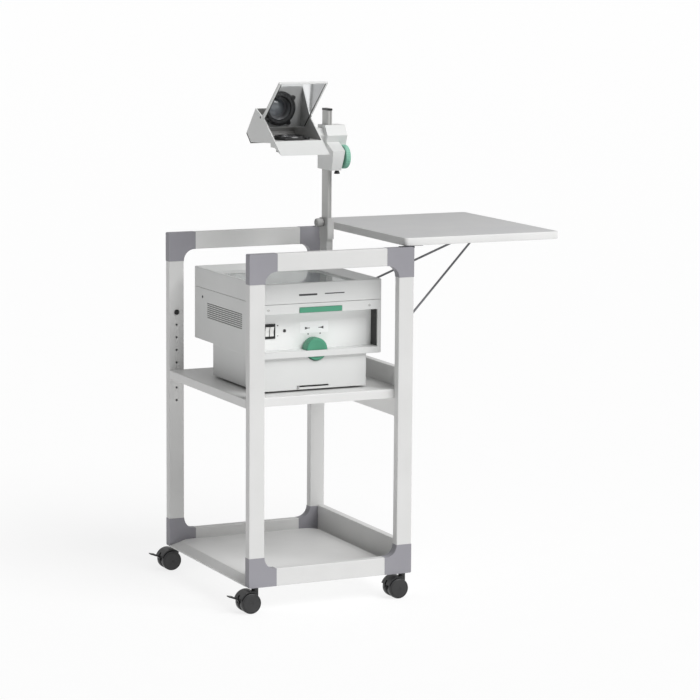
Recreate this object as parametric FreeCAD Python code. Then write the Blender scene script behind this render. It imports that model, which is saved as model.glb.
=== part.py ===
import FreeCAD, Part
import math
import os

# Overhead projector on a mobile trolley with a fold-down side shelf.
# Millimetres, +Z up, +X to the right, +Y away from the front.
# The sub-assemblies are laid out from the trolley's own corner: X = 0 is the outside of the left
# posts, Y = 0 the front of the near frame, Z = 0 the floor. At the end everything is moved so
# that the origin lies on the floor under the middle of the whole outline.

V = FreeCAD.Vector
nodes = {}


# ---------------------------------------------------------------- small building helpers
def box(x0, x1, y0, y1, z0, z1):
    return Part.makeBox(x1 - x0, y1 - y0, z1 - z0, V(x0, y0, z0))


def rounded(shape, radius, direction, pick=None):
    """Fillet the straight edges that run along one direction."""
    edges = []
    for edge in shape.Edges:
        run = edge.Vertexes[-1].Point - edge.Vertexes[0].Point
        if run.Length > 0 and abs(run.normalize().dot(direction)) > 0.999:
            if pick is None or pick(edge.CenterOfMass):
                edges.append(edge)
    return shape.makeFillet(radius, edges)


def cylinder(radius, start, direction, length):
    return Part.makeCylinder(radius, length, start, direction)


def ring(outer, inner, start, direction, length):
    return cylinder(outer, start, direction, length).cut(cylinder(inner, start, direction, length))


def prism_x(points, x0, x1):
    """Extrude a (y, z) outline along X."""
    wire = Part.makePolygon([V(x0, y, z) for y, z in points + points[:1]])
    return Part.Face(wire).extrude(V(x1 - x0, 0, 0))


def prism_y(points, y0, y1):
    """Extrude an (x, z) outline along Y."""
    wire = Part.makePolygon([V(x, y0, z) for x, z in points + points[:1]])
    return Part.Face(wire).extrude(V(0, y1 - y0, 0))


def rod(points, radius):
    """A round wire through the points, with ball joints at its bends."""
    shape = None
    for a, b in zip(points[:-1], points[1:]):
        piece = Part.makeCylinder(radius, (b - a).Length, a, b - a)
        shape = piece if shape is None else shape.fuse(piece)
    for corner in points[1:-1]:
        shape = shape.fuse(Part.makeSphere(radius + 0.01, corner))
    return shape.removeSplitter()


def mirrored_y(shape):
    """The same part on the other side of the trolley's middle plane."""
    return shape.mirror(V(0, trolley_depth / 2, 0), V(0, 1, 0))


def mirrored_x(shape):
    return shape.mirror(V(trolley_width / 2, 0, 0), V(1, 0, 0))


X, Y, Z = V(1, 0, 0), V(0, 1, 0), V(0, 0, 1)

# ---------------------------------------------------------------- driving dimensions
trolley_width = 432.0        # X, over the posts
trolley_depth = 528.0        # Y, over the two frames
frame_bottom = 60.0          # underside of the frames above the floor
frame_top = 861.0
side_shelf_length = 425.0    # X
side_shelf_top = 882.0
running_gap = 0.06           # radial clearance of everything that turns
slide_gap = 0.25             # clearance per side of everything that slides or is slid in

# ---------------------------------------------------------------- the two upright frames
# Rectangular steel tube, cut square and pushed onto the spigots of moulded corners.
tube_thickness = 22.0        # Y
tube_wall = 1.5
tube_corner = 2.0
post_width = 40.0            # X
rail_height = 43.0           # Z
corner_leg = 72.0            # a corner's two arms, along X and Z
corner_proud = 0.5           # how far a corner stands out of the tube's flat faces
corner_edge_radius = 3.0
spigot_length = 26.0
hole_pitch = 32.0            # row of fixing holes up the inside of every post
hole_radius = 2.85
shelf_hole_z = 500.5         # the hole that the middle shelf is screwed to
holes_below = 2
holes_above = 5
stem_radius = 4.0            # caster pin, held in the bottom corners
stem_bore = stem_radius + running_gap

post_x = post_width / 2
post_foot = frame_bottom + corner_leg
post_head = frame_top - corner_leg


def tube(x0, x1, z0, z1, along):
    """A near-frame tube, open at both ends."""
    outer = rounded(box(x0, x1, 0, tube_thickness, z0, z1), tube_corner, along)
    w = tube_wall
    if along is Z:
        inner = box(x0 + w, x1 - w, w, tube_thickness - w, z0 - 1, z1 + 1)
    else:
        inner = box(x0 - 1, x1 + 1, w, tube_thickness - w, z0 + w, z1 - w)
    return outer.cut(inner)


left_post = tube(0, post_width, post_foot, post_head, Z)
for step in range(-holes_below, holes_above + 1):
    start = V(post_x, tube_thickness - 2 * tube_wall, shelf_hole_z + step * hole_pitch)
    left_post = left_post.cut(cylinder(hole_radius, start, Y, 3 * tube_wall))
top_rail = tube(corner_leg, trolley_width - corner_leg, frame_top - rail_height, frame_top, X)
bottom_rail = tube(corner_leg, trolley_width - corner_leg, frame_bottom, frame_bottom + rail_height, X)


def corner_moulding():
    """The near frame's bottom left corner: two arms, a hollow fillet between them, two spigots."""
    y0, y1 = -corner_proud, tube_thickness + corner_proud
    z0 = frame_bottom
    body = box(0, corner_leg, y0, y1, z0, z0 + rail_height)
    body = body.fuse(box(0, post_width, y0, y1, z0, z0 + corner_leg))
    sweep = corner_leg - rail_height
    web = box(post_width, post_width + sweep, y0, y1, z0 + rail_height, z0 + corner_leg)
    web = web.cut(cylinder(sweep, V(post_width + sweep, y0, z0 + corner_leg), Y, y1 - y0))
    body = body.fuse(web).removeSplitter()
    body = rounded(body, corner_edge_radius, Y, lambda c: c.x < 1 and c.z < z0 + 1)
    inset = tube_wall + slide_gap
    upper = box(inset, post_width - inset, inset, tube_thickness - inset,
                z0 + corner_leg, z0 + corner_leg + spigot_length)
    side = box(corner_leg, corner_leg + spigot_length, inset, tube_thickness - inset,
               z0 + inset, z0 + rail_height - inset)
    return body.fuse(upper).fuse(side).removeSplitter()


bottom_left = corner_moulding()
middle_z = V(0, 0, (frame_bottom + frame_top) / 2)
top_left = bottom_left.mirror(middle_z, Z)
stem_depth = 30.0
bottom_left = bottom_left.cut(cylinder(stem_bore, V(post_x, tube_thickness / 2, frame_bottom - 1),
                                       Z, stem_depth + 1))
near_corners = [bottom_left, mirrored_x(bottom_left), top_left, mirrored_x(top_left)]

nodes["near_frame_left_post"] = left_post
nodes["near_frame_right_post"] = mirrored_x(left_post)
nodes["near_frame_top_rail"] = top_rail
nodes["near_frame_bottom_rail"] = bottom_rail
nodes["near_frame_corners"] = Part.makeCompound(near_corners)
nodes["far_frame_left_post"] = mirrored_y(left_post)
nodes["far_frame_right_post"] = mirrored_y(mirrored_x(left_post))
nodes["far_frame_top_rail"] = mirrored_y(top_rail)
nodes["far_frame_bottom_rail"] = mirrored_y(bottom_rail)
nodes["far_frame_corners"] = Part.makeCompound([mirrored_y(c) for c in near_corners])

# ---------------------------------------------------------------- casters
# Twin-wheel furniture casters: a pin fixed in the frame, a hood that swivels on it, two wheels.
wheel_radius = 25.0
wheel_width = 16.0
caster_trail = 17.0          # wheel axis behind the pin, towards -X as they stand
caster_core = 11.0           # width of the hood's middle web, between the wheels
wheel_side_gap = 0.7
hub_radius = 5.0
hood_gap = 2.0
hood_wall = 2.5
hood_top = frame_bottom - 2.0
boss_radius = 8.5
lever_reach = 70.0           # tip of the brake lever behind the pin
lever_width = 6.0            # narrow enough to pass between the wheels
lever_pad_width = 15.0       # its foot pad, behind them
lever_pivot_radius = 2.0
lever_pivot_trail = 24.0     # the lever's pivot behind the wheel axis
lever_pivot_z = 33.0
lever_slot_gap = 0.5
lever_tip_z = 45.0
lever_pad_length = 14.0
lever_thick = 3.0
hood_skin_z = 9.0            # the hood's skin starts this far above the axis
hood_skin_front = 12.0       # and this far in front of it
collar_height = 5.0
wheel_edge_radius = 3.0
wheel_cover = 2.5            # solid disc that closes a wheel's bore
everywhere = 99.0            # larger than any caster part

caster_y = tube_thickness / 2
stem_low = 34.0


def caster_stem():
    return cylinder(stem_radius, V(post_x, caster_y, stem_low), Z,
                    frame_bottom + stem_depth - 2 - stem_low)


def caster_hood():
    axis = V(post_x - caster_trail, caster_y, wheel_radius)
    half = caster_core / 2
    far = everywhere
    web_space = box(-far, far, caster_y - half, caster_y + half, 0, far)
    web = cylinder(wheel_radius - 3, axis - Y * half, Y, caster_core)
    boss = cylinder(boss_radius, V(post_x, caster_y, stem_low - 6), Z, hood_top - stem_low + 6)
    boss = boss.common(web_space)
    collar = cylinder(boss_radius, V(post_x, caster_y, hood_top - collar_height), Z, collar_height)
    span = wheel_width + wheel_side_gap + half
    skin_in = wheel_radius + hood_gap
    skin = ring(skin_in + hood_wall, skin_in, axis - Y * (span - 2), Y, 2 * span - 4)
    skin = skin.common(box(axis.x - far, axis.x + hood_skin_front, -far, far, axis.z + hood_skin_z,
                           hood_top))
    spine = cylinder(skin_in + 1, axis - Y * half, Y, caster_core)
    spine = spine.common(box(axis.x - far, post_x, -far, far, axis.z, hood_top))
    body = web.fuse(boss).fuse(spine).fuse(skin)
    around_boss = cylinder(boss_radius + 1, V(post_x, caster_y, 0), Z, hood_top - collar_height - 1)
    body = body.cut(around_boss.cut(web_space))
    body = body.fuse(collar)
    axle = cylinder(hub_radius - running_gap, axis - Y * (span - 3), Y, 2 * span - 6)
    body = body.fuse(axle)
    body = body.cut(cylinder(stem_radius + running_gap, V(post_x, caster_y, stem_low - 0.5), Z, far))
    slot_half = lever_width / 2 + lever_slot_gap
    slot = box(axis.x - 40, axis.x - 17, caster_y - slot_half, caster_y + slot_half, 20, 44)
    return body.cut(slot)


def caster_wheels():
    axis = V(post_x - caster_trail, caster_y, wheel_radius)
    inner = caster_core / 2 + wheel_side_gap
    wheels = []
    for side in (-1, 1):
        a = axis + Y * side * inner
        b = axis + Y * side * (inner + wheel_width)
        low = a if side > 0 else b
        wheel = cylinder(wheel_radius, low, Y, wheel_width)
        rim = [e for e in wheel.Edges if e.Length > wheel_radius * 6
               and abs(e.CenterOfMass.y - b.y) < 0.1]
        wheel = wheel.makeFillet(wheel_edge_radius, rim)
        bore_depth = wheel_width - wheel_cover
        bore_start = a - Y * 0.5 if side > 0 else a + Y * 0.5 - Y * bore_depth
        wheel = wheel.cut(cylinder(hub_radius, bore_start, Y, bore_depth))
        wheels.append(wheel)
    return Part.makeCompound(wheels)


def caster_brake():
    """The lever between the wheels; it pivots on the hood just behind the wheel web."""
    x, z = post_x - caster_trail - lever_pivot_trail, lever_pivot_z
    y0 = caster_y - lever_width / 2
    tip = post_x - lever_reach
    outline = [(x + 5, z - 4), (x + 4, z + 4), (x - 3, z + 5), (tip, lever_tip_z),
               (tip, lever_tip_z - lever_thick), (x - 5, z), (x - 3, z - 5)]
    lever = prism_y(outline, y0, y0 + lever_width)
    drop = lever_pad_length * 0.2
    pad = prism_y([(tip, lever_tip_z), (tip + lever_pad_length, lever_tip_z - drop),
                   (tip + lever_pad_length, lever_tip_z - lever_thick - drop),
                   (tip, lever_tip_z - lever_thick)],
                  caster_y - lever_pad_width / 2, caster_y + lever_pad_width / 2)
    lever = lever.fuse(pad).removeSplitter()
    return lever.cut(cylinder(lever_pivot_radius + running_gap, V(x, y0 - 1, z), Y, lever_width + 2))


def brake_mount():
    """The lever's pin and the two cheeks of the hood that hold it."""
    x, half = post_x - caster_trail - lever_pivot_trail, caster_core / 2
    cheeks = box(x - 3, x + 6, caster_y - half, caster_y + half, lever_pivot_z - 4, lever_pivot_z + 4)
    slot_half = lever_width / 2 + lever_slot_gap
    cheeks = cheeks.cut(box(x - 9, x + 9, caster_y - slot_half, caster_y + slot_half, 0, everywhere))
    return cheeks.fuse(cylinder(lever_pivot_radius, V(x, caster_y - half, lever_pivot_z), Y, caster_core))


def placed_casters(shape, braked):
    """A caster part at the four corners, all trailing the same way."""
    across = V(trolley_width - post_width, 0, 0)
    along = V(0, trolley_depth - tube_thickness, 0)
    spots = {"near_left": V(0, 0, 0), "far_left": along}
    if not braked:
        spots["near_right"] = across
        spots["far_right"] = across + along
    result = {}
    for name, shift in spots.items():
        copy = shape.copy()
        copy.translate(shift)
        result[name] = copy
    return result


hood = caster_hood()
for name, shape in placed_casters(hood, False).items():
    nodes["caster_" + name + "_hood"] = shape
for name, shape in placed_casters(brake_mount(), True).items():
    nodes["caster_" + name + "_hood"] = nodes["caster_" + name + "_hood"].fuse(shape)
for name, shape in placed_casters(caster_wheels(), False).items():
    nodes["caster_" + name + "_wheels"] = shape
for name, shape in placed_casters(caster_brake(), True).items():
    nodes["caster_" + name + "_brake"] = shape
nodes["caster_stems"] = Part.makeCompound(list(placed_casters(caster_stem(), False).values()))

# ---------------------------------------------------------------- middle shelf and bottom tray
# Pressed steel, held between the two frames; each has an upright board along its right side.
sheet = 1.5
board_thickness = 18.0
shelf_top = 514.5
shelf_depth = 22.0           # height of the folded edge
shelf_edge_radius = 3.0
shelf_board_height = 122.0
tray_top = 80.0
tray_edge = 4.0              # height of the tray's outer edge above the frame's underside
tray_bevel = 16.0            # width of the sloping side of the tray
tray_board_top = 134.0

inner_y0 = tube_thickness
inner_y1 = trolley_depth - tube_thickness
board_x0 = trolley_width - board_thickness

shelf = box(0, board_x0, inner_y0, inner_y1, shelf_top - shelf_depth, shelf_top)
shelf = rounded(shelf, shelf_edge_radius, X, lambda c: c.z > shelf_top - 1)
shelf = rounded(shelf, shelf_edge_radius - 0.5, Y, lambda c: c.z > shelf_top - 1 and c.x < 1)
inside = box(sheet, board_x0 - sheet, inner_y0 + sheet, inner_y1 - sheet,
             shelf_top - shelf_depth - 1, shelf_top - sheet - 1)
shelf = shelf.cut(inside)
screw_radius = 2.5
screw_hole = screw_radius + 0.3
screw_head = 5.0
screw_head_height = 3.0
screw_bite = 6.0             # into the post
screw_xs = (post_x, board_x0 - 10.0)
for x in screw_xs:
    shelf = shelf.cut(cylinder(screw_hole, V(x, 0, shelf_hole_z), Y, trolley_depth))
right_screw_hole = cylinder(screw_hole, V(screw_xs[1], tube_thickness - 3, shelf_hole_z), Y,
                            trolley_depth - 2 * tube_thickness + 6)
for side in ("near", "far"):
    nodes[side + "_frame_right_post"] = nodes[side + "_frame_right_post"].cut(right_screw_hole)
nodes["middle_shelf"] = shelf

shelf_board = box(board_x0, trolley_width, inner_y0, inner_y1,
                  shelf_hole_z - shelf_board_height / 2, shelf_hole_z + shelf_board_height / 2)
nodes["middle_shelf_side_board"] = rounded(shelf_board, 1.5, Y)

screws = []
for x in screw_xs:
    shank = cylinder(screw_radius, V(x, inner_y0 - screw_bite, shelf_hole_z), Y, screw_bite + sheet)
    head = cylinder(screw_head, V(x, inner_y0 + sheet, shelf_hole_z), Y, screw_head_height)
    screws.append(shank.fuse(head))
screws += [mirrored_y(s) for s in screws]
nodes["shelf_screws"] = Part.makeCompound(screws)

tray_y0 = inner_y0 + corner_proud
tray_y1 = inner_y1 - corner_proud
low = frame_bottom


def tray_outline(t):
    """The tray's cross-section in X and Z, brought in by t on every side but the bottom."""
    slope = t * 0.6
    return [(t, low - (1 if t else 0)), (board_x0 - t, low - (1 if t else 0)),
            (board_x0 - t, low + tray_edge - slope), (board_x0 - tray_bevel - slope, tray_top - t),
            (tray_bevel + slope, tray_top - t), (t, low + tray_edge - slope)]


tray = prism_y(tray_outline(0), tray_y0, tray_y1)
tray = tray.cut(prism_y(tray_outline(sheet), tray_y0 + sheet, tray_y1 - sheet))
nodes["bottom_tray"] = tray
tray_board = box(board_x0, trolley_width, tray_y0, tray_y1, low, tray_board_top)
nodes["bottom_tray_side_board"] = rounded(tray_board, 1.5, Y)

plug_radius = 6.5
plug_head = 3.0
plug_stem = 8.0
plug_z = shelf_hole_z + holes_above * hole_pitch
plug = cylinder(plug_radius, V(post_x, tube_thickness, plug_z), Y, plug_head)
plug = plug.fuse(cylinder(hole_radius - 0.3, V(post_x, tube_thickness - plug_stem, plug_z), Y, plug_stem))
nodes["post_hole_plugs"] = Part.makeCompound([plug, mirrored_y(plug)])

# ---------------------------------------------------------------- fold-down side shelf
# A coated board on two small hinges outside the right posts, propped by a wire stay whose ends
# turn in the posts' holes and whose tip lies in a saddle under the board.
board_edge_y = 11.5          # the board stops short of the frames' outer faces
side_shelf_thickness = 19.0
side_shelf_overlap = 19.0    # how far it reaches back over the posts
side_shelf_corner = 10.0
hinge_leaf = 1.5
hinge_x = trolley_width + 4.5
hinge_z = frame_top - 1.5
knuckle_radius = 3.0
pin_radius = 1.9
wire_radius = 2.75

ss_x0 = trolley_width - side_shelf_overlap
ss_x1 = ss_x0 + side_shelf_length
ss_z0 = side_shelf_top - side_shelf_thickness
side_board = box(ss_x0, ss_x1, board_edge_y, trolley_depth - board_edge_y, ss_z0, side_shelf_top)
side_board = rounded(side_board, side_shelf_corner, Z)
nodes["side_shelf_board"] = side_board

leaf_y0 = board_edge_y + 1.0
leaf_mid = leaf_y0 + 4.5
leaf_y1 = tube_thickness - 0.5
fixed_leaf = box(trolley_width - 32, trolley_width - 1, leaf_y0, leaf_y1, frame_top,
                 frame_top + hinge_leaf)
fixed_leaf = fixed_leaf.fuse(box(trolley_width - 2, hinge_x, leaf_y0, leaf_mid - 0.25, frame_top,
                                 frame_top + hinge_leaf))
knuckle = cylinder(knuckle_radius, V(hinge_x, leaf_y0, hinge_z), Y, leaf_mid - 0.25 - leaf_y0)
fixed_leaf = fixed_leaf.fuse(knuckle)
bore = cylinder(pin_radius + running_gap, V(hinge_x, leaf_y0 - 1, hinge_z), Y, leaf_mid - leaf_y0 + 1)
fixed_leaf = fixed_leaf.cut(bore)
nodes["side_shelf_hinge_leaves"] = Part.makeCompound([fixed_leaf, mirrored_y(fixed_leaf)])

pintle = cylinder(knuckle_radius, V(hinge_x, leaf_mid, hinge_z), Y, leaf_y1 - leaf_mid)
pintle = pintle.fuse(box(hinge_x, hinge_x + 28, leaf_mid, leaf_y1, ss_z0 - hinge_leaf, ss_z0))
pintle = pintle.fuse(cylinder(pin_radius, V(hinge_x, leaf_y0 + 0.5, hinge_z), Y,
                              leaf_mid - leaf_y0))
nodes["side_shelf_hinge_pintles"] = Part.makeCompound([pintle, mirrored_y(pintle)])

stay_reach = 332.0           # from the posts' holes to the tip, across
saddle_wall = 4.0
saddle_depth = 8.0
saddle_foot = 16.0
saddle_plate = 2.0
stay_z = plug_z
stay_x = trolley_width - post_x
stay_bend_y = tube_thickness + 11.0
stay_tip_z = ss_z0 - 0.4 - wire_radius
stay_tip_x = stay_x + stay_reach
stay_tip_half = 7.0
middle_y = trolley_depth / 2
stay_half = [V(stay_x, tube_thickness - 7, stay_z), V(stay_x, stay_bend_y, stay_z),
             V(stay_tip_x, middle_y - stay_tip_half, stay_tip_z)]
stay_path = stay_half + [V(p.x, trolley_depth - p.y, p.z) for p in reversed(stay_half)]
nodes["side_shelf_wire_stay"] = rod(stay_path, wire_radius)

saddle_back = stay_tip_x - wire_radius - 0.5
saddle_half = stay_tip_half - wire_radius - 1.0
saddle = box(saddle_back - saddle_wall, saddle_back, middle_y - saddle_half, middle_y + saddle_half,
             ss_z0 - saddle_depth, ss_z0)
saddle = saddle.fuse(box(saddle_back - saddle_foot, saddle_back, middle_y - saddle_half,
                         middle_y + saddle_half, ss_z0 - saddle_plate, ss_z0))
nodes["side_shelf_stay_saddle"] = saddle.removeSplitter()

# ---------------------------------------------------------------- projector: two-part case
# An upper case that overhangs a narrower base; the light stage is a lid hinged along its back.
# The projector is laid out about its own middle, which is then set over the shelf's middle.
projector_middle_y = 264.0
trolley_nodes = set(nodes)
case_x0, case_x1 = 56.0, 379.0
case_y0, case_y1 = 64.0, 480.0
case_z0, seam_z, case_top = 599.0, 730.5, 779.5
case_wall = 3.0
case_corner = 9.0
case_edge = 1.5              # along the bottom of the upper case
base_corner = 6.0
seam_gap = 1.0
base_x0, base_x1 = 59.0, 343.0
base_y0, base_y1 = 74.0, 366.0
foot_height = 5.0
foot_radius = 9.0
panel_set_back = 38.0
strip_height = 24.0          # front strip under the lid seam
ledge_height = 15.5          # front strip along the bottom of the upper case
recess_margin = 12.0

base_z0 = shelf_top + foot_height
base = box(base_x0, base_x1, base_y0, base_y1, base_z0, case_z0)
base = rounded(base, base_corner, Z)
base = base.cut(box(base_x0 + case_wall, base_x1 - case_wall, base_y0 + case_wall,
                    base_y1 - case_wall, base_z0 + case_wall, case_z0 + 1))
inlet_x, inlet_z = 120.0, 555.0
inlet_w, inlet_h = 27.0, 20.0
inlet_depth = 14.0
inlet_flange_w, inlet_flange_h, inlet_flange = 40.0, 28.0, 2.0
inlet_mouth_w, inlet_mouth_h, inlet_mouth = 22.0, 14.0, 10.0
inlet_pin = 1.0
inlet_pitch = 6.0


def inlet_block(width, height, y0, y1):
    """A block about the inlet's middle."""
    return box(inlet_x - width / 2, inlet_x + width / 2, y0, y1, inlet_z - height / 2, inlet_z + height / 2)


base = base.cut(inlet_block(inlet_w, inlet_h, base_y1 - case_wall - 1, base_y1 + 1))
drawer_slot_x0, drawer_slot_x1 = 157.0, 241.0
drawer_slot_z = 527.0
drawer_slot_height = 4.2
base = base.cut(box(drawer_slot_x0, drawer_slot_x1, base_y0 - 1, base_y0 + case_wall + 1,
                    drawer_slot_z - drawer_slot_height / 2, drawer_slot_z + drawer_slot_height / 2))
nodes["projector_base_case"] = base

feet = []
for x in (base_x0 + 25, base_x1 - 25):
    for y in (base_y0 + 30, base_y1 - 30):
        feet.append(cylinder(foot_radius, V(x, y, shelf_top), Z, foot_height))
nodes["projector_feet"] = Part.makeCompound(feet)

inlet = inlet_block(inlet_w - 2 * slide_gap, inlet_h - 2 * slide_gap, base_y1 - inlet_depth, base_y1)
inlet = inlet.fuse(inlet_block(inlet_flange_w, inlet_flange_h, base_y1, base_y1 + inlet_flange))
inlet = inlet.cut(inlet_block(inlet_mouth_w, inlet_mouth_h, base_y1 - inlet_mouth,
                              base_y1 + inlet_flange + 1))
for dx in (-inlet_pitch, 0.0, inlet_pitch):
    inlet = inlet.fuse(box(inlet_x + dx - inlet_pin, inlet_x + dx + inlet_pin, base_y1 - inlet_mouth - 1,
                           base_y1 - 2, inlet_z - 2 * inlet_pin, inlet_z + 2 * inlet_pin))
nodes["projector_power_inlet"] = inlet.removeSplitter()

recess_x0, recess_x1 = case_x0 + recess_margin, case_x1 - recess_margin
recess_z0, recess_z1 = case_z0 + ledge_height, seam_z - strip_height
case = box(case_x0, case_x1, case_y0, case_y1, case_z0, seam_z - seam_gap)
case = rounded(case, case_corner, Z)
case = case.makeFillet(case_edge, [e for e in case.Edges if e.BoundBox.ZMax < case_z0 + 0.1])
case = case.cut(box(case_x0 + case_wall, case_x1 - case_wall, case_y0 + case_wall,
                    case_y1 - case_wall, case_z0 + case_wall, seam_z + 1))
case_hole_inset, case_hole_front = 12.0, 30.0
case = case.cut(box(base_x0 + case_hole_inset, base_x1 - case_hole_inset, base_y0 + case_hole_front,
                    base_y1 - case_hole_inset, case_z0 - 1, case_z0 + case_wall + 1))
case = case.cut(box(recess_x0, recess_x1, case_y0 - 1, case_y0 + case_wall + 1, recess_z0, recess_z1))
recess_back = case_y0 + panel_set_back
lining_wall = 2.0
lining = box(recess_x0 - lining_wall, recess_x1 + lining_wall, case_y0 + case_wall, recess_back,
             recess_z0 - lining_wall, recess_z1 + lining_wall)
case = case.fuse(lining.cut(box(recess_x0, recess_x1, case_y0, recess_back + 1, recess_z0, recess_z1)))
knob_x, knob_z = 208.0, 616.0
knob_radius = 27.5
knob_thick = 30.0
knob_y0 = case_y0 + 4.0
knob_pocket_gap = 1.5
knob_pocket = cylinder(knob_radius + knob_pocket_gap, V(knob_x, knob_y0 - 1.0, knob_z), Y,
                       knob_thick + knob_pocket_gap + 1.0)
case = case.cut(knob_pocket)
nodes["projector_base_case"] = nodes["projector_base_case"].cut(knob_pocket)
shaft_radius = 4.0
case = case.cut(cylinder(shaft_radius + 1, V(knob_x, case_y0 + 10, knob_z), Y, panel_set_back))
vent_y0, vent_y1, vent_z0, vent_z1 = 174.0, 393.0, 659.0, 699.0
louvre_pitch = 5.0
louvre_slot = 2.2
louvres = int((vent_z1 - vent_z0) / louvre_pitch)
for step in range(louvres):
    slot_z0 = vent_z0 + step * louvre_pitch
    case = case.cut(box(case_x0 - 1, case_x0 + case_wall + 1, vent_y0, vent_y1, slot_z0,
                        slot_z0 + louvre_slot))
vent_screw_y, vent_screw_z = 422.0, 708.0
vent_screw_hole = 2.5
case = case.cut(cylinder(vent_screw_hole, V(case_x0 - 1, vent_screw_y, vent_screw_z), X, case_wall + 2))
latch_x0, latch_x1 = 158.5, 270.5
latch_z0, latch_z1 = 707.5, 720.0
latch_gap = 0.5
latch_proud = 2.0
latch_face = 1.2             # how deep the latch's face sits in the case's front wall
latch_travel = 2.6           # room behind that wall for the latch's flange
latch_flange = 2.0
latch_flange_reach = 4.0
latch_neck_inset = 10.0
case = case.cut(box(latch_x0 - latch_gap, latch_x1 + latch_gap, case_y0 - 1, case_y0 + case_wall + 1,
                    latch_z0 - latch_gap, latch_z1 + latch_gap))
nodes["projector_upper_case"] = case.removeSplitter()

panel_y = case_y0 + panel_set_back
panel_thick = 2.5
panel = box(case_x0 + case_wall, case_x1 - case_wall, panel_y, panel_y + panel_thick,
            case_z0 + case_wall, seam_z - seam_gap - 2)
switch_x0, switch_x1 = 83.0, 109.0
switch_z0, switch_z1 = 645.0, 677.0
panel = panel.cut(box(switch_x0, switch_x1, panel_y - 1, panel_y + 4, switch_z0, switch_z1))
lamp_button_x, lamp_button_z = 136.0, 660.5
indicator_radius = 4.0
indicator_length = 8.0
panel = panel.cut(cylinder(indicator_radius, V(lamp_button_x, panel_y - 1, lamp_button_z), Y, 5))
panel = panel.cut(cylinder(shaft_radius + running_gap, V(knob_x, panel_y - 1, knob_z), Y, 6))
nodes["projector_front_panel"] = panel

lid_hinge_radius = 4.0
lid_hinge_pin = 1.9
lid_hinge_knuckle = 12.0
lid_hinge_leaf = 14.0
lid_hinge_y = case_y1 + lid_hinge_radius
lid_hinge_z = seam_z - seam_gap / 2
lid_hinge_inset = 70.0

switch_flange = 2.0
switch_depth = 12.0
frame = box(switch_x0 - switch_flange, switch_x1 + switch_flange, panel_y - switch_flange, panel_y,
            switch_z0 - switch_flange, switch_z1 + switch_flange)
g = slide_gap
frame = frame.fuse(box(switch_x0 + g, switch_x1 - g, panel_y, panel_y + switch_depth, switch_z0 + g,
                       switch_z1 - g))
rocker_w = 10.0
rocker_gap = 0.6
rocker_end_gap = 2.4
rocker_centres = (switch_x0 + 7.0, switch_x1 - 7.0)
for x in rocker_centres:
    half = rocker_w / 2 + rocker_gap
    frame = frame.cut(box(x - half, x + half, panel_y - 3, panel_y + switch_depth - 2,
                          switch_z0 + rocker_end_gap, switch_z1 - rocker_end_gap))
switch_mid = (switch_z0 + switch_z1) / 2
rocker_pin = 1.2
rocker_pin_reach = 0.9
rocker_half = (switch_z1 - switch_z0) / 2 - 4.0
rocker_pivot_y = panel_y + 4.0
for name, x in zip(("left", "right"), rocker_centres):
    outline = [(panel_y - 5.0, switch_mid + rocker_half - 1), (panel_y - 1.0, switch_mid),
               (panel_y - 1.6, switch_mid - rocker_half), (panel_y + 3, switch_mid - rocker_half),
               (panel_y + 8, switch_mid - 3), (panel_y + 8, switch_mid + 3),
               (panel_y + 3, switch_mid + rocker_half - 1)]
    rocker = prism_x(outline, x - rocker_w / 2, x + rocker_w / 2)
    pin_start = V(x - rocker_w / 2 - rocker_pin_reach, rocker_pivot_y, switch_mid)
    pin_length = rocker_w + 2 * rocker_pin_reach
    rocker = rocker.fuse(cylinder(rocker_pin, pin_start, X, pin_length))
    frame = frame.cut(cylinder(rocker_pin + running_gap, pin_start - X * 0.1, X, pin_length + 0.2))
    nodes["switch_rocker_" + name] = rocker.removeSplitter()
nodes["switch_frame"] = frame.removeSplitter()

nodes["indicator_lamp"] = cylinder(indicator_radius - slide_gap,
                                   V(lamp_button_x, panel_y - 2.5, lamp_button_z), Y, indicator_length)

adjust = cylinder(knob_radius, V(knob_x, knob_y0, knob_z), Y, knob_thick)
shaft_end = 13.0             # behind the knob
adjust = adjust.fuse(cylinder(shaft_radius, V(knob_x, knob_y0 + 1, knob_z), Y, knob_thick + shaft_end + 1))
nodes["stage_adjust_knob"] = adjust.removeSplitter()

flange_y0 = case_y0 + case_wall + latch_travel
latch = box(latch_x0, latch_x1, case_y0 - latch_proud, case_y0 + latch_face, latch_z0, latch_z1)
latch = latch.fuse(box(latch_x0 - latch_flange_reach, latch_x1 + latch_flange_reach, flange_y0,
                       flange_y0 + latch_flange, latch_z0 + 2, latch_z1))
latch = latch.fuse(box(latch_x0 + latch_neck_inset, latch_x1 - latch_neck_inset, case_y0 + 1,
                       flange_y0 + latch_flange / 2, latch_z0 + 2, latch_z1 - 2))
nodes["lid_latch_bar"] = latch.removeSplitter()

# ---------------------------------------------------------------- projector: stage lid
rim_width = 4.0
bevel_width = 20.0
glass_z = 766.0
glass_thickness = 4.0
glass_seat = 6.0             # the ledge that the glass lies on
lid_edge = 2.5
fresnel_gap = 4.0
fresnel_thick = 3.0
glass_y0, glass_y1 = 112.0, 400.0
glass_x0, glass_x1 = case_x0 + rim_width + bevel_width, case_x1 - rim_width - bevel_width
lid = box(case_x0, case_x1, case_y0, case_y1, seam_z, case_top)
lid = rounded(lid, case_corner, Z)
lid = lid.makeFillet(lid_edge, [e for e in lid.Edges if e.BoundBox.ZMin > case_top - 0.1])
lid = lid.cut(box(case_x0 + case_wall, case_x1 - case_wall, case_y0 + case_wall, case_y1 - case_wall,
                  seam_z - 1, glass_z - glass_thickness - 4))


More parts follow.
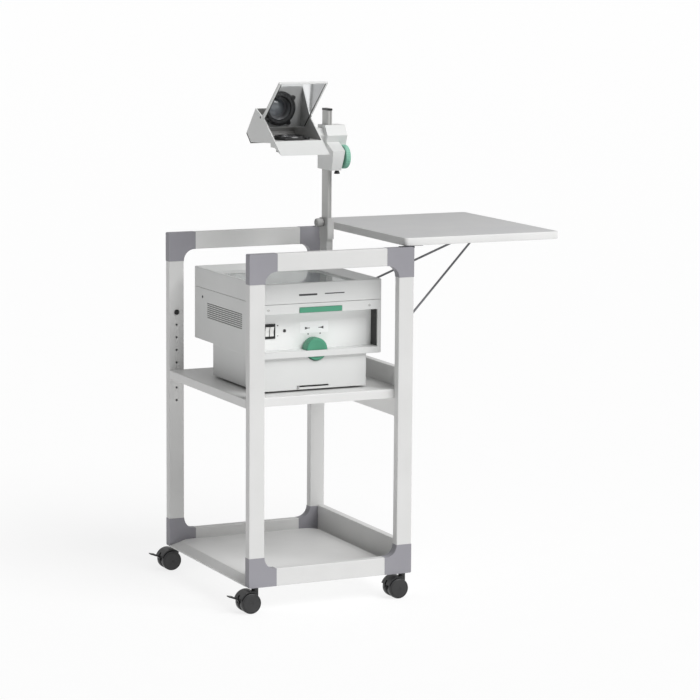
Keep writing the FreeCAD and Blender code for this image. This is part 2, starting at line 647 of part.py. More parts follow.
def bowl_outline(inset, z):
    """A closed outline of the stage's bowl, brought in from the lid's sides."""
    x0, x1 = case_x0 + inset, case_x1 - inset
    y0, y1 = case_y0 + inset, case_y1 - inset
    return Part.makePolygon([V(x0, y0, z), V(x1, y0, z), V(x1, y1, z), V(x0, y1, z), V(x0, y0, z)])


bowl = Part.makeLoft([bowl_outline(rim_width + bevel_width, glass_z), bowl_outline(rim_width, case_top)],
                     True, True)
lid = lid.cut(bowl)
lid = lid.cut(box(glass_x0, glass_x1, glass_y0, glass_y1, glass_z - glass_thickness, glass_z + 1))
lid = lid.cut(box(glass_x0 + glass_seat, glass_x1 - glass_seat, glass_y0 + glass_seat, glass_y1 - glass_seat,
                  glass_z - glass_thickness - 9, glass_z + 1))
nodes["stage_lid"] = lid.removeSplitter()
for x in (case_x0 + lid_hinge_inset, case_x1 - lid_hinge_inset):
    middle = V(x, lid_hinge_y, lid_hinge_z)
    fixed = cylinder(lid_hinge_radius, middle - X * lid_hinge_knuckle, X, lid_hinge_knuckle - slide_gap)
    fixed = fixed.fuse(box(x - lid_hinge_knuckle, x - slide_gap, case_y1 - 1, lid_hinge_y,
                           lid_hinge_z - lid_hinge_leaf, lid_hinge_z))
    pin = cylinder(lid_hinge_pin, middle - X * lid_hinge_knuckle, X, 2 * lid_hinge_knuckle)
    case = nodes["projector_upper_case"].fuse(fixed).fuse(pin)
    nodes["projector_upper_case"] = case.removeSplitter()
    moving = cylinder(lid_hinge_radius, middle, X, lid_hinge_knuckle)
    moving = moving.fuse(box(x, x + lid_hinge_knuckle, case_y1 - 1, lid_hinge_y, lid_hinge_z + seam_gap,
                             lid_hinge_z + lid_hinge_leaf))
    moving = moving.cut(cylinder(lid_hinge_pin + running_gap, middle - X, X, lid_hinge_knuckle + 2))
    nodes["stage_lid"] = nodes["stage_lid"].fuse(moving).removeSplitter()
nodes["stage_glass"] = box(glass_x0 + g, glass_x1 - g, glass_y0 + g, glass_y1 - g,
                           glass_z - glass_thickness, glass_z)
fresnel_z = glass_z - glass_thickness - fresnel_gap - fresnel_thick
nodes["fresnel_lens"] = box(case_x0 + 15, case_x1 - 15, glass_y0 - 8, glass_y1 + 8, fresnel_z,
                            fresnel_z + fresnel_thick)

optic_x, optic_y = 217.0, 257.0
lamp_z = 560.0
lamp = cylinder(6.5, V(optic_x, optic_y, lamp_z), Z, 32)
lamp = lamp.fuse(cylinder(11.0, V(optic_x, optic_y, lamp_z - 12), Z, 12))
lamp = lamp.fuse(box(optic_x - 24, optic_x + 24, optic_y - 18, optic_y + 18, base_z0 + case_wall,
                     lamp_z - 12))
nodes["halogen_lamp"] = lamp.removeSplitter()
fan_x, fan_size, fan_depth = 108.0, 70.0, 25.0
fan_y = 300.0
fan = box(fan_x - fan_depth / 2, fan_x + fan_depth / 2, fan_y - fan_size / 2, fan_y + fan_size / 2,
          base_z0 + case_wall, base_z0 + case_wall + fan_size)
fan_mid = V(fan_x, fan_y, base_z0 + case_wall + fan_size / 2)
fan = fan.cut(ring(fan_size / 2 - 3, 13, fan_mid - X * fan_depth, X, 2 * fan_depth).cut(
    box(fan_x - 3, fan_x + 3, fan_y - 99, fan_y + 99, fan_mid.z - 3, fan_mid.z + 3)))
nodes["cooling_fan"] = fan

# ---------------------------------------------------------------- projector: column and bracket
# A flat aluminium column held in a moulded sleeve that is screwed to the case's right side.
column_x0, column_x1 = 385.0, 397.0
column_y0, column_y1 = 395.0, 431.0
column_foot = 640.0
column_top = 1165.0
column_edge = 2.0
column_groove = 4.0
column_cap_height = 5.0
cap_proud = 0.6
bracket_top = 893.0
sleeve_foot = 841.0
sleeve_wall = 4.0
sleeve_wall_front = 7.0
stem_wall = 3.0              # the bracket's lower part, beside the case
stem_width_y = 40.0
bracket_edge = 4.0
clamp_z = 882.0
clamp_radius = 11.0
clamp_length = 20.0
clamp_screw = 3.0
clamp_gap = 0.5

column = rounded(box(column_x0, column_x1, column_y0, column_y1, column_foot, column_top),
                 column_edge, Z)
groove_x = (column_x0 + column_x1) / 2 - column_groove / 2
column = column.cut(box(groove_x, groove_x + column_groove, column_y0 - 1, column_y0 + 1.5,
                        bracket_top, column_top + 1))
nodes["column"] = column
cap = box(column_x0 - cap_proud, column_x1 + cap_proud, column_y0 - cap_proud, column_y1 + cap_proud,
          column_top, column_top + column_cap_height)
nodes["column_cap"] = rounded(cap, column_edge, Z)


def column_channel(z0, z1):
    """The room that a sleeve leaves for the column."""
    g = slide_gap
    return rounded(box(column_x0 - g, column_x1 + g, column_y0 - g, column_y1 + g, z0, z1), column_edge, Z)


bracket_x0, bracket_x1 = column_x0 - sleeve_wall, column_x1 + sleeve_wall
bracket_y0, bracket_y1 = column_y0 - sleeve_wall_front, column_y1 + sleeve_wall + 2
stem_y0 = (column_y0 + column_y1 - stem_width_y) / 2 + 1
stem_x0 = case_x1
lid_clear_x0 = column_x0 - 2.0
lid_clear_z = seam_z - 12.0
bracket = rounded(box(bracket_x0, bracket_x1, bracket_y0, bracket_y1, sleeve_foot, bracket_top),
                  bracket_edge, Z)
stem = box(stem_x0, bracket_x1, stem_y0, stem_y0 + stem_width_y, column_foot - 12, sleeve_foot)
stem = rounded(stem, bracket_edge, Z, lambda c: c.x > (stem_x0 + bracket_x1) / 2)
stem = stem.cut(box(0, lid_clear_x0, 0, 999, lid_clear_z, 999))
bracket = bracket.fuse(stem)
bracket = bracket.cut(column_channel(column_foot - 0.5, bracket_top + 1))
clamp_y = (column_y0 + column_y1) / 2
bracket = bracket.cut(cylinder(clamp_screw + running_gap, V(bracket_x0 - 11, clamp_y, clamp_z), X,
                               11 + sleeve_wall))
nodes["column_bracket"] = bracket.removeSplitter()
clamp_x1 = bracket_x0 - clamp_gap
clamp = cylinder(clamp_radius, V(clamp_x1 - clamp_length, clamp_y, clamp_z), X, clamp_length)
clamp = clamp.makeFillet(3.0, [e for e in clamp.Edges if e.Length > clamp_radius * 6])
screw_x0 = clamp_x1 - 5
clamp = clamp.fuse(cylinder(clamp_screw, V(screw_x0, clamp_y, clamp_z), X,
                            column_x0 - slide_gap - 0.15 - screw_x0))
nodes["column_clamp_knob"] = clamp.removeSplitter()

# ---------------------------------------------------------------- projector: focusing carriage
# A sleeve on the column: folded front, wider above than below, closed behind the column.
sleeve_x0, sleeve_x1 = column_x0 - 10.0, column_x1 + 13.0
visor_x1 = 430.0
carriage_low, carriage_top = 1018.0, 1129.0
carriage_back = column_y1 + 3.5
fold_z = 1087.0              # where the front folds from the upper part to the lower
visor_low = fold_z - 8.0     # where the wide upper part begins
upper_front = [(382.5, fold_z), (375.5, 1103.5), (392.0, carriage_top)]
lower_front = [(351.0, carriage_low), (343.5, 1046.0), (342.5, 1067.0)]

back_edge = [(carriage_back, carriage_top), (carriage_back, carriage_low)]
carriage = prism_x(lower_front + upper_front + back_edge, sleeve_x0, sleeve_x1)
upper_back = [(carriage_back, carriage_top), (carriage_back, visor_low)]
visor = prism_x([(upper_front[0][0], visor_low)] + upper_front + upper_back, sleeve_x0, visor_x1)
carriage = carriage.fuse(visor).removeSplitter()
sleeve_taper = 9.0           # the sleeve's right side draws in towards its foot
carriage = carriage.cut(prism_y([(sleeve_x1 + 1, visor_low), (sleeve_x1, visor_low),
                                 (sleeve_x1 - sleeve_taper, carriage_low), (sleeve_x1 + 1, carriage_low)],
                                0, carriage_back + 1))
carriage = carriage.cut(column_channel(carriage_low - 1, carriage_top + 1))
focus_y, focus_z = 367.0, 1051.0
focus_shaft = 4.0
shaft_depth = 16.0
focus_radius = 30.0
focus_thick = 12.5
focus_gap = 0.6
carriage = carriage.cut(cylinder(focus_shaft + running_gap, V(sleeve_x1 - shaft_depth - 1, focus_y, focus_z),
                                 X, 60))
stop_x, stop_y = sleeve_x1 - 15.0, 362.0
stop_radius = 7.5
stop_screw = 2.5
stop_head = 8.5
carriage = carriage.cut(cylinder(stop_screw + running_gap, V(stop_x, stop_y, carriage_low - 1), Z, 16))
nodes["focus_carriage"] = carriage

focus = cylinder(focus_radius, V(sleeve_x1 + focus_gap, focus_y, focus_z), X, focus_thick)
focus = focus.makeFillet(3.0, [e for e in focus.Edges if e.Length > focus_radius * 6])
focus = focus.fuse(cylinder(focus_shaft, V(sleeve_x1 - shaft_depth, focus_y, focus_z), X,
                            shaft_depth + focus_gap + 1))
nodes["focus_knob"] = focus.removeSplitter()
stop = cylinder(stop_radius, V(stop_x, stop_y, carriage_low - stop_head - 0.5), Z, stop_head)
stop = stop.fuse(cylinder(stop_screw, V(stop_x, stop_y, carriage_low - 2), Z, 14))
nodes["carriage_stop_screw"] = stop.removeSplitter()

# ---------------------------------------------------------------- projector: head
# Two cheeks joined by a floor, a sloping apron in front and a back wall; open above, where the
# mirror flap's tail swings through. An arm behind it reaches across to the carriage.
head_x0, head_x1 = 153.0, 281.0
head_wall = 3.0
cheek = [(161.5, 1076.0), (227.5, 1102.0), (346.0, 1095.5), (372.0, 1119.0), (318.0, 1181.0),
         (269.5, 1159.0)]
floor_z = 1108.0
hollow = [(150.0, 1071.0), (164.0, 1081.0), (200.0, floor_z), (344.5, floor_z), (367.0, 1119.5),
          (317.0, 1177.0), (314.0, 1190.0), (250.0, 1190.0), (140.0, 1086.0)]
arm_set_back = 15.0          # from the carriage's front to the arm's
arm_back = 425.0
arm_low, arm_top = 1075.0, 1121.0
arm_inboard = 40.0           # how far the arm runs behind the head
link_y0 = 340.0
link_z0, link_z1 = 1096.0, 1119.0
head = prism_x(cheek, head_x0, head_x1)
head = head.cut(prism_x(hollow, head_x0 + head_wall, head_x1 - head_wall))
arm_front = [(382.0, arm_low)] + [(y + arm_set_back, min(z, arm_top)) for y, z in upper_front]
arm = prism_x(arm_front + [(arm_back, arm_top), (arm_back, arm_low)], head_x1 - arm_inboard, sleeve_x0)
link = box(head_x1 - arm_inboard, head_x1, link_y0, arm_back, link_z0, link_z1)
arm = arm.fuse(link.cut(prism_x(cheek, head_x0, head_x1)))
head = head.fuse(arm).removeSplitter()

lens_x, lens_y = 217.0, 257.0
mount_radius = 43.0
barrel_radius = 32.7
barrel_low = 1077.0
barrel_top = 1121.0
barrel_bore = 28.0
lens_seat_bore = 22.3        # below the lens's rim, narrower than the bore above it
mount_thick = 5.0
lug_radius = 6.0
lug_turns = (54, 144, 234, 324)
lens_radius = lens_seat_bore - 0.3
lens_low, lens_rim = 1079.0, 1088.0
lens_curve = 40.0
lens_axis = V(lens_x, lens_y, 0)
head = head.cut(cylinder(barrel_radius + 0.3, lens_axis + Z * (barrel_low - 4), Z, floor_z - barrel_low + 5))

barrel = cylinder(mount_radius, lens_axis + Z * floor_z, Z, mount_thick)
barrel = barrel.fuse(cylinder(barrel_radius, lens_axis + Z * barrel_low, Z, barrel_top - barrel_low))
for turn in lug_turns:
    reach = V(math.cos(math.radians(turn)), math.sin(math.radians(turn)), 0) * (mount_radius + 1)
    barrel = barrel.fuse(cylinder(lug_radius, lens_axis + reach + Z * floor_z, Z, mount_thick))
barrel = barrel.cut(cylinder(lens_seat_bore, lens_axis + Z * (barrel_low - 1), Z, barrel_top - barrel_low))
barrel = barrel.cut(cylinder(barrel_bore, lens_axis + Z * lens_rim, Z, barrel_top - lens_rim + 1))
nodes["lens_barrel"] = barrel.removeSplitter()
lens = cylinder(lens_radius, lens_axis + Z * lens_low, Z, lens_rim - lens_low)
rim_drop = lens_curve - math.sqrt(lens_curve ** 2 - lens_radius ** 2)
dome = Part.makeSphere(lens_curve, lens_axis + Z * (lens_rim + rim_drop - lens_curve))
dome = dome.common(cylinder(lens_radius, lens_axis + Z * (lens_rim - 1), Z, 40))
nodes["objective_lens"] = lens.fuse(dome).removeSplitter()

# ---------------------------------------------------------------- projector: mirror flap
# A shallow tray with a mirror let into it. It turns on two stub pins in the cheeks: most of it
# stands above them, and its tail hangs between the cheeks behind the lens.
mirror_open = math.radians(138.0)
mirror_length = 128.0
mirror_tail = 43.0
flap_half = 3.0              # the pins' axis lies in the middle of its thickness
hinge = V(0, 270.5, 1164.5)
hinge_ear_radius = 5.5
hinge_ear_drop = 8.0         # from the pins down into the cheek
hinge_pin_radius = 1.8
flap_low = 6.5               # where the flap widens to cover the cheeks
tail_gap = 0.5
mirror_rim = 4.0
mirror_thick = 2.0
mirror_seat = 0.2
along = V(0, math.cos(mirror_open), math.sin(mirror_open))
behind = V(0, math.sin(mirror_open), -math.cos(mirror_open))


def flap_plate(x0, x1, a0, a1, t0, t1):
    """A plate of the opened flap: a runs along it from the pins, t from the middle to its back."""
    corners = [hinge + along * a0 + behind * t0, hinge + along * a1 + behind * t0,
               hinge + along * a1 + behind * t1, hinge + along * a0 + behind * t1]
    return prism_x([(c.y, c.z) for c in corners], x0, x1)


tail_x0, tail_x1 = head_x0 + head_wall + tail_gap, head_x1 - head_wall - tail_gap
glass_in = head_wall + tail_gap + 0.8
flap = flap_plate(head_x0, head_x1, flap_low, mirror_length, -flap_half, flap_half)
flap = flap.fuse(flap_plate(tail_x0, tail_x1, -mirror_tail, flap_low + 1, -flap_half, flap_half))
for x in (head_x0 + 0.5, head_x1 - 0.5 - head_wall - 3):
    flap = flap.fuse(cylinder(hinge_pin_radius, hinge + X * x, X, head_wall + 3))
pocket_x0, pocket_x1 = head_x0 + glass_in, head_x1 - glass_in
pocket_a0, pocket_a1 = 1.0 - mirror_tail, mirror_length - 2.5
flap = flap.cut(flap_plate(pocket_x0, pocket_x1, pocket_a0, pocket_a1, -flap_half - 1,
                           mirror_thick + mirror_seat - flap_half))
nodes["mirror_frame"] = flap.removeSplitter()
nodes["mirror_glass"] = flap_plate(pocket_x0 + 0.2, pocket_x1 - 0.2, pocket_a0 + 0.2, pocket_a1 - 0.2,
                                   mirror_seat - flap_half, mirror_thick + mirror_seat - flap_half)
for x in (head_x0, head_x1 - head_wall):
    ear = cylinder(hinge_ear_radius, hinge + X * x, X, head_wall)
    neck = [(hinge.y - hinge_ear_radius / 2, hinge.z), (hinge.y + hinge_ear_radius, hinge.z),
            (hinge.y + hinge_ear_radius, hinge.z - hinge_ear_drop), (hinge.y, hinge.z - hinge_ear_drop)]
    ear = ear.fuse(prism_x(neck, x, x + head_wall))
    head = head.fuse(ear)
    head = head.cut(cylinder(hinge_pin_radius + running_gap, hinge + X * (x - 0.5), X, head_wall + 1))
nodes["head_housing"] = head.removeSplitter()

for name in nodes:
    if name not in trolley_nodes:
        nodes[name].translate(V(0, trolley_depth / 2 - projector_middle_y, 0))

# ---------------------------------------------------------------- move to the origin and write
lever_tip_x = post_x - lever_reach
datum = V((lever_tip_x + ss_x1) / 2, trolley_depth / 2, 0)
os.makedirs("parts", exist_ok=True)
for name, shape in nodes.items():
    shape.translate(datum * -1)
    shape.exportStep("parts/" + name + ".step")
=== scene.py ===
import math

import bmesh
import bpy
from mathutils import Matrix, Vector


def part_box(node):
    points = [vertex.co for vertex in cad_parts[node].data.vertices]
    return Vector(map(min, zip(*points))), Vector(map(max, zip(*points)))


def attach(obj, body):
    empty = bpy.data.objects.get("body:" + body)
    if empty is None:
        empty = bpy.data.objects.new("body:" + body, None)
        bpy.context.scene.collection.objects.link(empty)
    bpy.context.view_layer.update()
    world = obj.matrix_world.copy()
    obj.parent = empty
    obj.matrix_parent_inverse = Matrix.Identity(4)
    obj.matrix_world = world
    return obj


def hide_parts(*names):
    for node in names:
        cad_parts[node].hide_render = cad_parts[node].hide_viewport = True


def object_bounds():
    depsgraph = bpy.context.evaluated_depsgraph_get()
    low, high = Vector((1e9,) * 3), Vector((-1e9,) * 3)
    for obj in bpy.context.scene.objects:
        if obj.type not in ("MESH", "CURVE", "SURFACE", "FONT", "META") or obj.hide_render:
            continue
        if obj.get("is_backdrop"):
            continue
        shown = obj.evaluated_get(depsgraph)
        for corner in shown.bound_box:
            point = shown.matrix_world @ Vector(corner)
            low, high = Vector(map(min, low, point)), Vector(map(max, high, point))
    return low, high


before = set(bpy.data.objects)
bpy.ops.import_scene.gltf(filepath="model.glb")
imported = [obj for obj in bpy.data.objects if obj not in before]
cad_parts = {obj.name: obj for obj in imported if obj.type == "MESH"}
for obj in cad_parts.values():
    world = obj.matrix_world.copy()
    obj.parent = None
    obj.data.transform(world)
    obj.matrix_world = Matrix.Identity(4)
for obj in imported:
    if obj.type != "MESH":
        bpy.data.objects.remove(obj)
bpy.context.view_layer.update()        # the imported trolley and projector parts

MM = 0.001

# ---------------------------------------------------------------- upright frames
# Rectangular steel tube, sawn square and coated with light grey powder, pushed onto moulded corners.
# Baked powder gives an even light grey with a soft sheen and a faint orange peel.
TUBE_GREY = "#D8D8D7"
TUBE_GREY_DRIFT = "#D4D4D3"
ORANGE_PEEL = 3.0 * MM       # the real one is nearer 1 mm, too fine to show
ORANGE_PEEL_DEPTH = 0.035 * MM


def linear(hex_colour):
    """An sRGB hex colour as the linear colour that the shaders use."""
    channels = [int(hex_colour[i:i + 2], 16) / 255 for i in (1, 3, 5)]
    return [c / 12.92 if c <= 0.04045 else ((c + 0.055) / 1.055) ** 2.4 for c in channels] + [1.0]


def add(tree, kind, links, **settings):
    """Adds a node with its settings; links holds a value or another node's output for each socket."""
    node = tree.nodes.new(kind)
    for name, value in settings.items():
        setattr(node, name, value)
    for socket, value in links.items():
        if isinstance(value, bpy.types.NodeSocket):
            tree.links.new(value, node.inputs[socket])
        else:
            node.inputs[socket].default_value = value
    return node


def grained(name, colour, drift, roughness, grain, depth, stretch=(1, 1, 1), **sockets):
    """A finish with a fine grain in its relief and gloss, and a slow drift between two near shades."""
    material = bpy.data.materials.new(name)
    material.use_nodes = True
    tree = material.node_tree
    shader = tree.nodes["Principled BSDF"]
    place = add(tree, "ShaderNodeTexCoord", {}).outputs["Object"]
    laid = add(tree, "ShaderNodeMapping", {"Vector": place, "Scale": stretch}).outputs["Vector"]
    fine = {"Vector": laid, "Scale": 1 / grain, "Detail": 3.0}
    broad = {"Vector": place, "Scale": 9.0, "Detail": 4.0}
    speck = add(tree, "ShaderNodeTexNoise", fine).outputs["Fac"]
    cloud = add(tree, "ShaderNodeTexNoise", broad).outputs["Fac"]
    share = add(tree, "ShaderNodeMapRange", {"Value": cloud, "From Min": 0.35, "From Max": 0.65})
    shade = add(tree, "ShaderNodeMix", {0: share.outputs["Result"], 6: linear(colour), 7: linear(drift)},
                data_type="RGBA")
    gloss = add(tree, "ShaderNodeMapRange", {"Value": speck, "To Min": roughness - 0.05,
                                             "To Max": roughness + 0.05})
    relief = add(tree, "ShaderNodeBump", {"Height": speck, "Strength": 1.0, "Distance": depth})
    tree.links.new(shade.outputs[2], shader.inputs["Base Color"])
    tree.links.new(gloss.outputs["Result"], shader.inputs["Roughness"])
    tree.links.new(relief.outputs["Normal"], shader.inputs["Normal"])
    for socket, value in sockets.items():
        shader.inputs[socket.replace("_", " ")].default_value = value
    return material


def dress(node, material, edge):
    """Gives a CAD node its finish and, where edge is above zero, breaks its sharp edges by that radius."""
    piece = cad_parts[node]
    piece.data.materials.clear()
    piece.data.materials.append(material)
    weld = piece.modifiers.new("weld", "WELD")
    weld.merge_threshold = 0.005 * MM
    if edge:
        rounding = piece.modifiers.new("broken_edges", "BEVEL")
        rounding.width = edge
        rounding.segments = 2
        rounding.limit_method = "ANGLE"
        rounding.angle_limit = math.radians(32)
        rounding.use_clamp_overlap = True
    shading = piece.modifiers.new("flat_faces", "WEIGHTED_NORMAL")
    shading.weight = 100
    return piece


powder_coated_steel = grained("powder_coated_steel", TUBE_GREY, TUBE_GREY_DRIFT, 0.42, ORANGE_PEEL,
                              ORANGE_PEEL_DEPTH)
for side in ("near", "far"):
    for member in ("left_post", "right_post", "top_rail", "bottom_rail"):
        dress(f"{side}_frame_{member}", powder_coated_steel, 0)

# ---------------------------------------------------------------- corner mouldings
# L-shaped glass-filled nylon mouldings that join post and rail, held by their spigots in the tubes.
# The spark-eroded mould leaves a fine matt grain on a cool mid grey.
CORNER_GREY = "#949399"
CORNER_GREY_DRIFT = "#908F95"
MOULD_GRAIN = 1.2 * MM       # coarser than the real 0.3 mm, so that it shows
MOULD_GRAIN_DEPTH = 0.03 * MM

moulded_nylon_grey = grained("moulded_nylon_grey", CORNER_GREY, CORNER_GREY_DRIFT, 0.55, MOULD_GRAIN,
                             MOULD_GRAIN_DEPTH)
for side in ("near", "far"):
    dress(f"{side}_frame_corners", moulded_nylon_grey, 0.9 * MM)

# ---------------------------------------------------------------- casters
# Twin-wheel casters: black nylon hood on a zinc-plated pin, two wheels with a hard tread and a
# snapped-in cover disc, and on the left pair a foot lever that locks the wheels. Moulded nylon gives a
# satin near-black, with the wheels a shade greyer than the hoods.
WHEEL_BLACK = "#222223"
HOOD_BLACK = "#1B1B1C"

moulded_nylon_black = grained("moulded_nylon_black", HOOD_BLACK, "#202021", 0.36, MOULD_GRAIN,
                              MOULD_GRAIN_DEPTH)
moulded_wheel_black = grained("moulded_wheel_black", WHEEL_BLACK, "#303031", 0.44, MOULD_GRAIN,
                              MOULD_GRAIN_DEPTH)
zinc_plated_steel = grained("zinc_plated_steel", "#B9B9B6", "#A9A9A8", 0.32, 2.0 * MM, 0.01 * MM,
                            Metallic=1.0)


def turned(shape, profile, base, axis, steps=96, ribs=0, rib_depth=0.0):
    """Spins a closed (radius, height, ribbed) profile about an axis and adds it to a bmesh."""
    axis = Vector(axis).normalized()
    across = axis.orthogonal().normalized()
    other = axis.cross(across)
    rings = []
    for radius, height, ribbed in profile:
        if radius < 1e-7:
            rings.append([shape.verts.new(Vector(base) + axis * height)])
            continue
        ring = []
        for step in range(steps):
            turn = 2 * math.pi * step / steps
            cut = ribbed * rib_depth * (0.5 - 0.5 * math.cos(ribs * turn))
            reach = across * math.cos(turn) + other * math.sin(turn)
            ring.append(shape.verts.new(Vector(base) + reach * (radius - cut) + axis * height))
        rings.append(ring)
    for low, high in zip(rings, rings[1:] + rings[:1]):
        if len(low) == 1 and len(high) == 1:
            continue
        for step in range(steps):
            after = (step + 1) % steps
            if len(low) == 1:
                shape.faces.new((low[0], high[after], high[step]))
            elif len(high) == 1:
                shape.faces.new((low[step], low[after], high[0]))
            else:
                shape.faces.new((low[step], low[after], high[after], high[step]))


def piece_from(shape, name, materials, body, replaced=(), sharp=34):
    """Turns a bmesh into a piece that rides on a body, smooth but for its sharp edges."""
    bmesh.ops.recalc_face_normals(shape, faces=shape.faces)
    mesh = bpy.data.meshes.new(name)
    shape.to_mesh(mesh)
    shape.free()
    for material in materials:
        mesh.materials.append(material)
    mesh.shade_smooth()
    mesh.set_sharp_from_angle(angle=math.radians(sharp))
    piece = bpy.data.objects.new(name, mesh)
    bpy.context.scene.collection.objects.link(piece)
    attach(piece, body)
    if replaced:
        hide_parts(*replaced)
    return piece


# Radius and distance from the wheel's inner side, in millimetres: axle hole, tread, rim groove, cover disc.
WHEEL_PROFILE = [(0, 13.5), (5, 13.5), (5, 0), (20, 0), (23.2, 0.4), (24.6, 1.4), (25, 3.0), (25, 12.6),
                 (24.7, 14.0), (23.8, 15.1), (22.4, 15.6), (21.9, 15.5), (21.7, 14.9), (21.2, 14.9),
                 (21.0, 15.5), (20.2, 15.9), (17.0, 16.0), (10.0, 15.9), (4.2, 15.7), (3.9, 15.3),
                 (2.6, 15.1), (0, 15.1)]
WHEEL_WIDTH = 16.0 * MM

for corner in ("near_left", "far_left", "near_right", "far_right"):
    dress(f"caster_{corner}_hood", moulded_nylon_black, 0.6 * MM)
    low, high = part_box(f"caster_{corner}_wheels")
    middle = (low + high) / 2
    wheels = bmesh.new()
    for outward in (-1, 1):
        start = middle + Vector((0, outward * ((high.y - low.y) / 2 - WHEEL_WIDTH), 0))
        turned(wheels, [(r * MM, h * MM, 0) for r, h in WHEEL_PROFILE], start, (0, outward, 0))
    piece_from(wheels, f"twin_wheels_{corner}", [moulded_wheel_black], f"wheels_{corner}",
               [f"caster_{corner}_wheels"], 40)
for corner in ("near_left", "far_left"):
    dress(f"caster_{corner}_brake", moulded_nylon_black, 0.8 * MM)
dress("caster_stems", zinc_plated_steel, 0.5 * MM)

# ---------------------------------------------------------------- middle shelf
# Folded sheet-steel shelf screwed between the posts, with an upright coated board at its right end.
# The shelf's powder coat is a shade paler than the frames'. A black nylon plug closes one hole in each
# left post.
SHELF_EDGE = 0.6 * MM
BOARD_EDGE = 1.2 * MM

coated_shelf_steel = grained("coated_shelf_steel", "#DEDEDD", "#DADAD9", 0.4, ORANGE_PEEL,
                             ORANGE_PEEL_DEPTH)
coated_board = grained("coated_board", "#DFDFDE", "#DBDBDA", 0.45, ORANGE_PEEL, ORANGE_PEEL_DEPTH)
dress("middle_shelf", coated_shelf_steel, SHELF_EDGE)
dress("middle_shelf_side_board", coated_board, BOARD_EDGE)
dress("shelf_screws", zinc_plated_steel, 0.5 * MM)
dress("post_hole_plugs", moulded_nylon_black, 1.0 * MM)

# ---------------------------------------------------------------- bottom tray
# One pressed steel sheet: a raised floor with rounded corners, sloping sides and a low flat rim.
# It is coated like the frames, and the side board stands along its right edge.
RIM_RISE = 4.0 * MM          # the rim's height over the frame's underside
RIM_EDGE = 0.8 * MM          # the rim's upper edge is broken by this much
RIM_CORNER = 1.5 * MM
RIM_WIDTH = 1.5 * MM         # from the tray's edge to the foot of the slope
SLOPE = 16.0 * MM            # how far the sides lean in
SLOPE_CORNER = 2.0 * MM      # corner radius at the foot of the slope
FLOOR_CORNER = 34.0 * MM
CREASE = 1.6 * MM            # width of the soft crease around the floor
CREASE_DROP = 0.4 * MM


def rounded_outline(x0, x1, y0, y1, radius, steps=8):
    """Corner points of a rectangle with rounded corners, counter-clockwise."""
    points = []
    for index, (cx, cy) in enumerate(((x1, y1), (x0, y1), (x0, y0), (x1, y0))):
        ax = cx - radius if cx == x1 else cx + radius
        ay = cy - radius if cy == y1 else cy + radius
        for step in range(steps + 1):
            turn = math.pi / 2 * (index + step / steps)
            points.append((ax + radius * math.cos(turn), ay + radius * math.sin(turn)))
    return points


def stacked(shape, levels):
    """Joins outlines with equal numbers of points, given as (points, height), into a closed skin."""
    loops = [[shape.verts.new((x, y, height)) for x, y in points] for points, height in levels]
    count = len(loops[0])
    for below, above in zip(loops, loops[1:]):
        for i in range(count):
            j = (i + 1) % count
            shape.faces.new((below[i], below[j], above[j], above[i]))
    shape.faces.new(list(reversed(loops[0])))
    shape.faces.new(loops[-1])


low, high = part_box("bottom_tray")
tray = bmesh.new()
rim_z = low.z + RIM_RISE


def tray_outline(inset, radius):
    """The tray's outline, drawn in from its outer edge."""
    return rounded_outline(low.x + inset, high.x - inset, low.y + inset, high.y - inset, radius)


levels = [(tray_outline(0, RIM_CORNER), low.z),
          (tray_outline(0, RIM_CORNER), rim_z - RIM_EDGE),
          (tray_outline(RIM_EDGE, RIM_CORNER), rim_z)]
for share in (0.0, 0.04, 0.96, 1.0):
    inset = RIM_WIDTH + (SLOPE - CREASE) * share
    height = rim_z + (high.z - CREASE_DROP - rim_z) * share
    levels.append((tray_outline(inset, SLOPE_CORNER + (FLOOR_CORNER - SLOPE_CORNER) * share), height))
levels.append((tray_outline(SLOPE + CREASE, FLOOR_CORNER), high.z))
stacked(tray, levels)
piece_from(tray, "pressed_tray", [coated_shelf_steel], "trolley", ["bottom_tray"], 16)
dress("bottom_tray_side_board", coated_board, BOARD_EDGE)

# ---------------------------------------------------------------- side shelf
# A 19 mm board faced with grey laminate, its edge closed by a lighter glued-on plastic band. It folds
# down on two small dark hinges and is held up by the wire stay. The laminate has a low, even sheen.
BOARD_CORNER = 10.0 * MM
BAND_EDGE = 1.4 * MM

pearl_laminate = grained("pearl_laminate", "#C7C7C7", "#C3C3C4", 0.38, 1.6 * MM, 0.012 * MM)
edge_band_plastic = grained("edge_band_plastic", "#E2E2E1", "#DEDEDD", 0.42, MOULD_GRAIN, 0.01 * MM)
low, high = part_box("side_shelf_board")
board = bmesh.new()
edge_steps = ((0, BAND_EDGE), (0.3 * BAND_EDGE, 0.3 * BAND_EDGE), (BAND_EDGE, 0))
levels = [(inset, low.z + rise) for rise, inset in edge_steps]
levels += [(inset, high.z - rise) for rise, inset in reversed(edge_steps)]
stacked(board, [(rounded_outline(low.x + inset, high.x - inset, low.y + inset, high.y - inset,
                                 BOARD_CORNER - inset), height) for inset, height in levels])
for face in board.faces:
    face.material_index = 0 if len(face.verts) > 4 else 1
piece_from(board, "side_shelf_laminated_board", [pearl_laminate, edge_band_plastic], "side_shelf",
           ["side_shelf_board"], 50)

burnished_steel = grained("burnished_steel", "#56565A", "#4A4A4E", 0.35, 1.5 * MM, 0.01 * MM, Metallic=0.9)
dress("side_shelf_hinge_leaves", burnished_steel, 0.4 * MM)
dress("side_shelf_hinge_pintles", burnished_steel, 0.4 * MM)
dress("side_shelf_stay_saddle", moulded_nylon_black, 0.5 * MM)

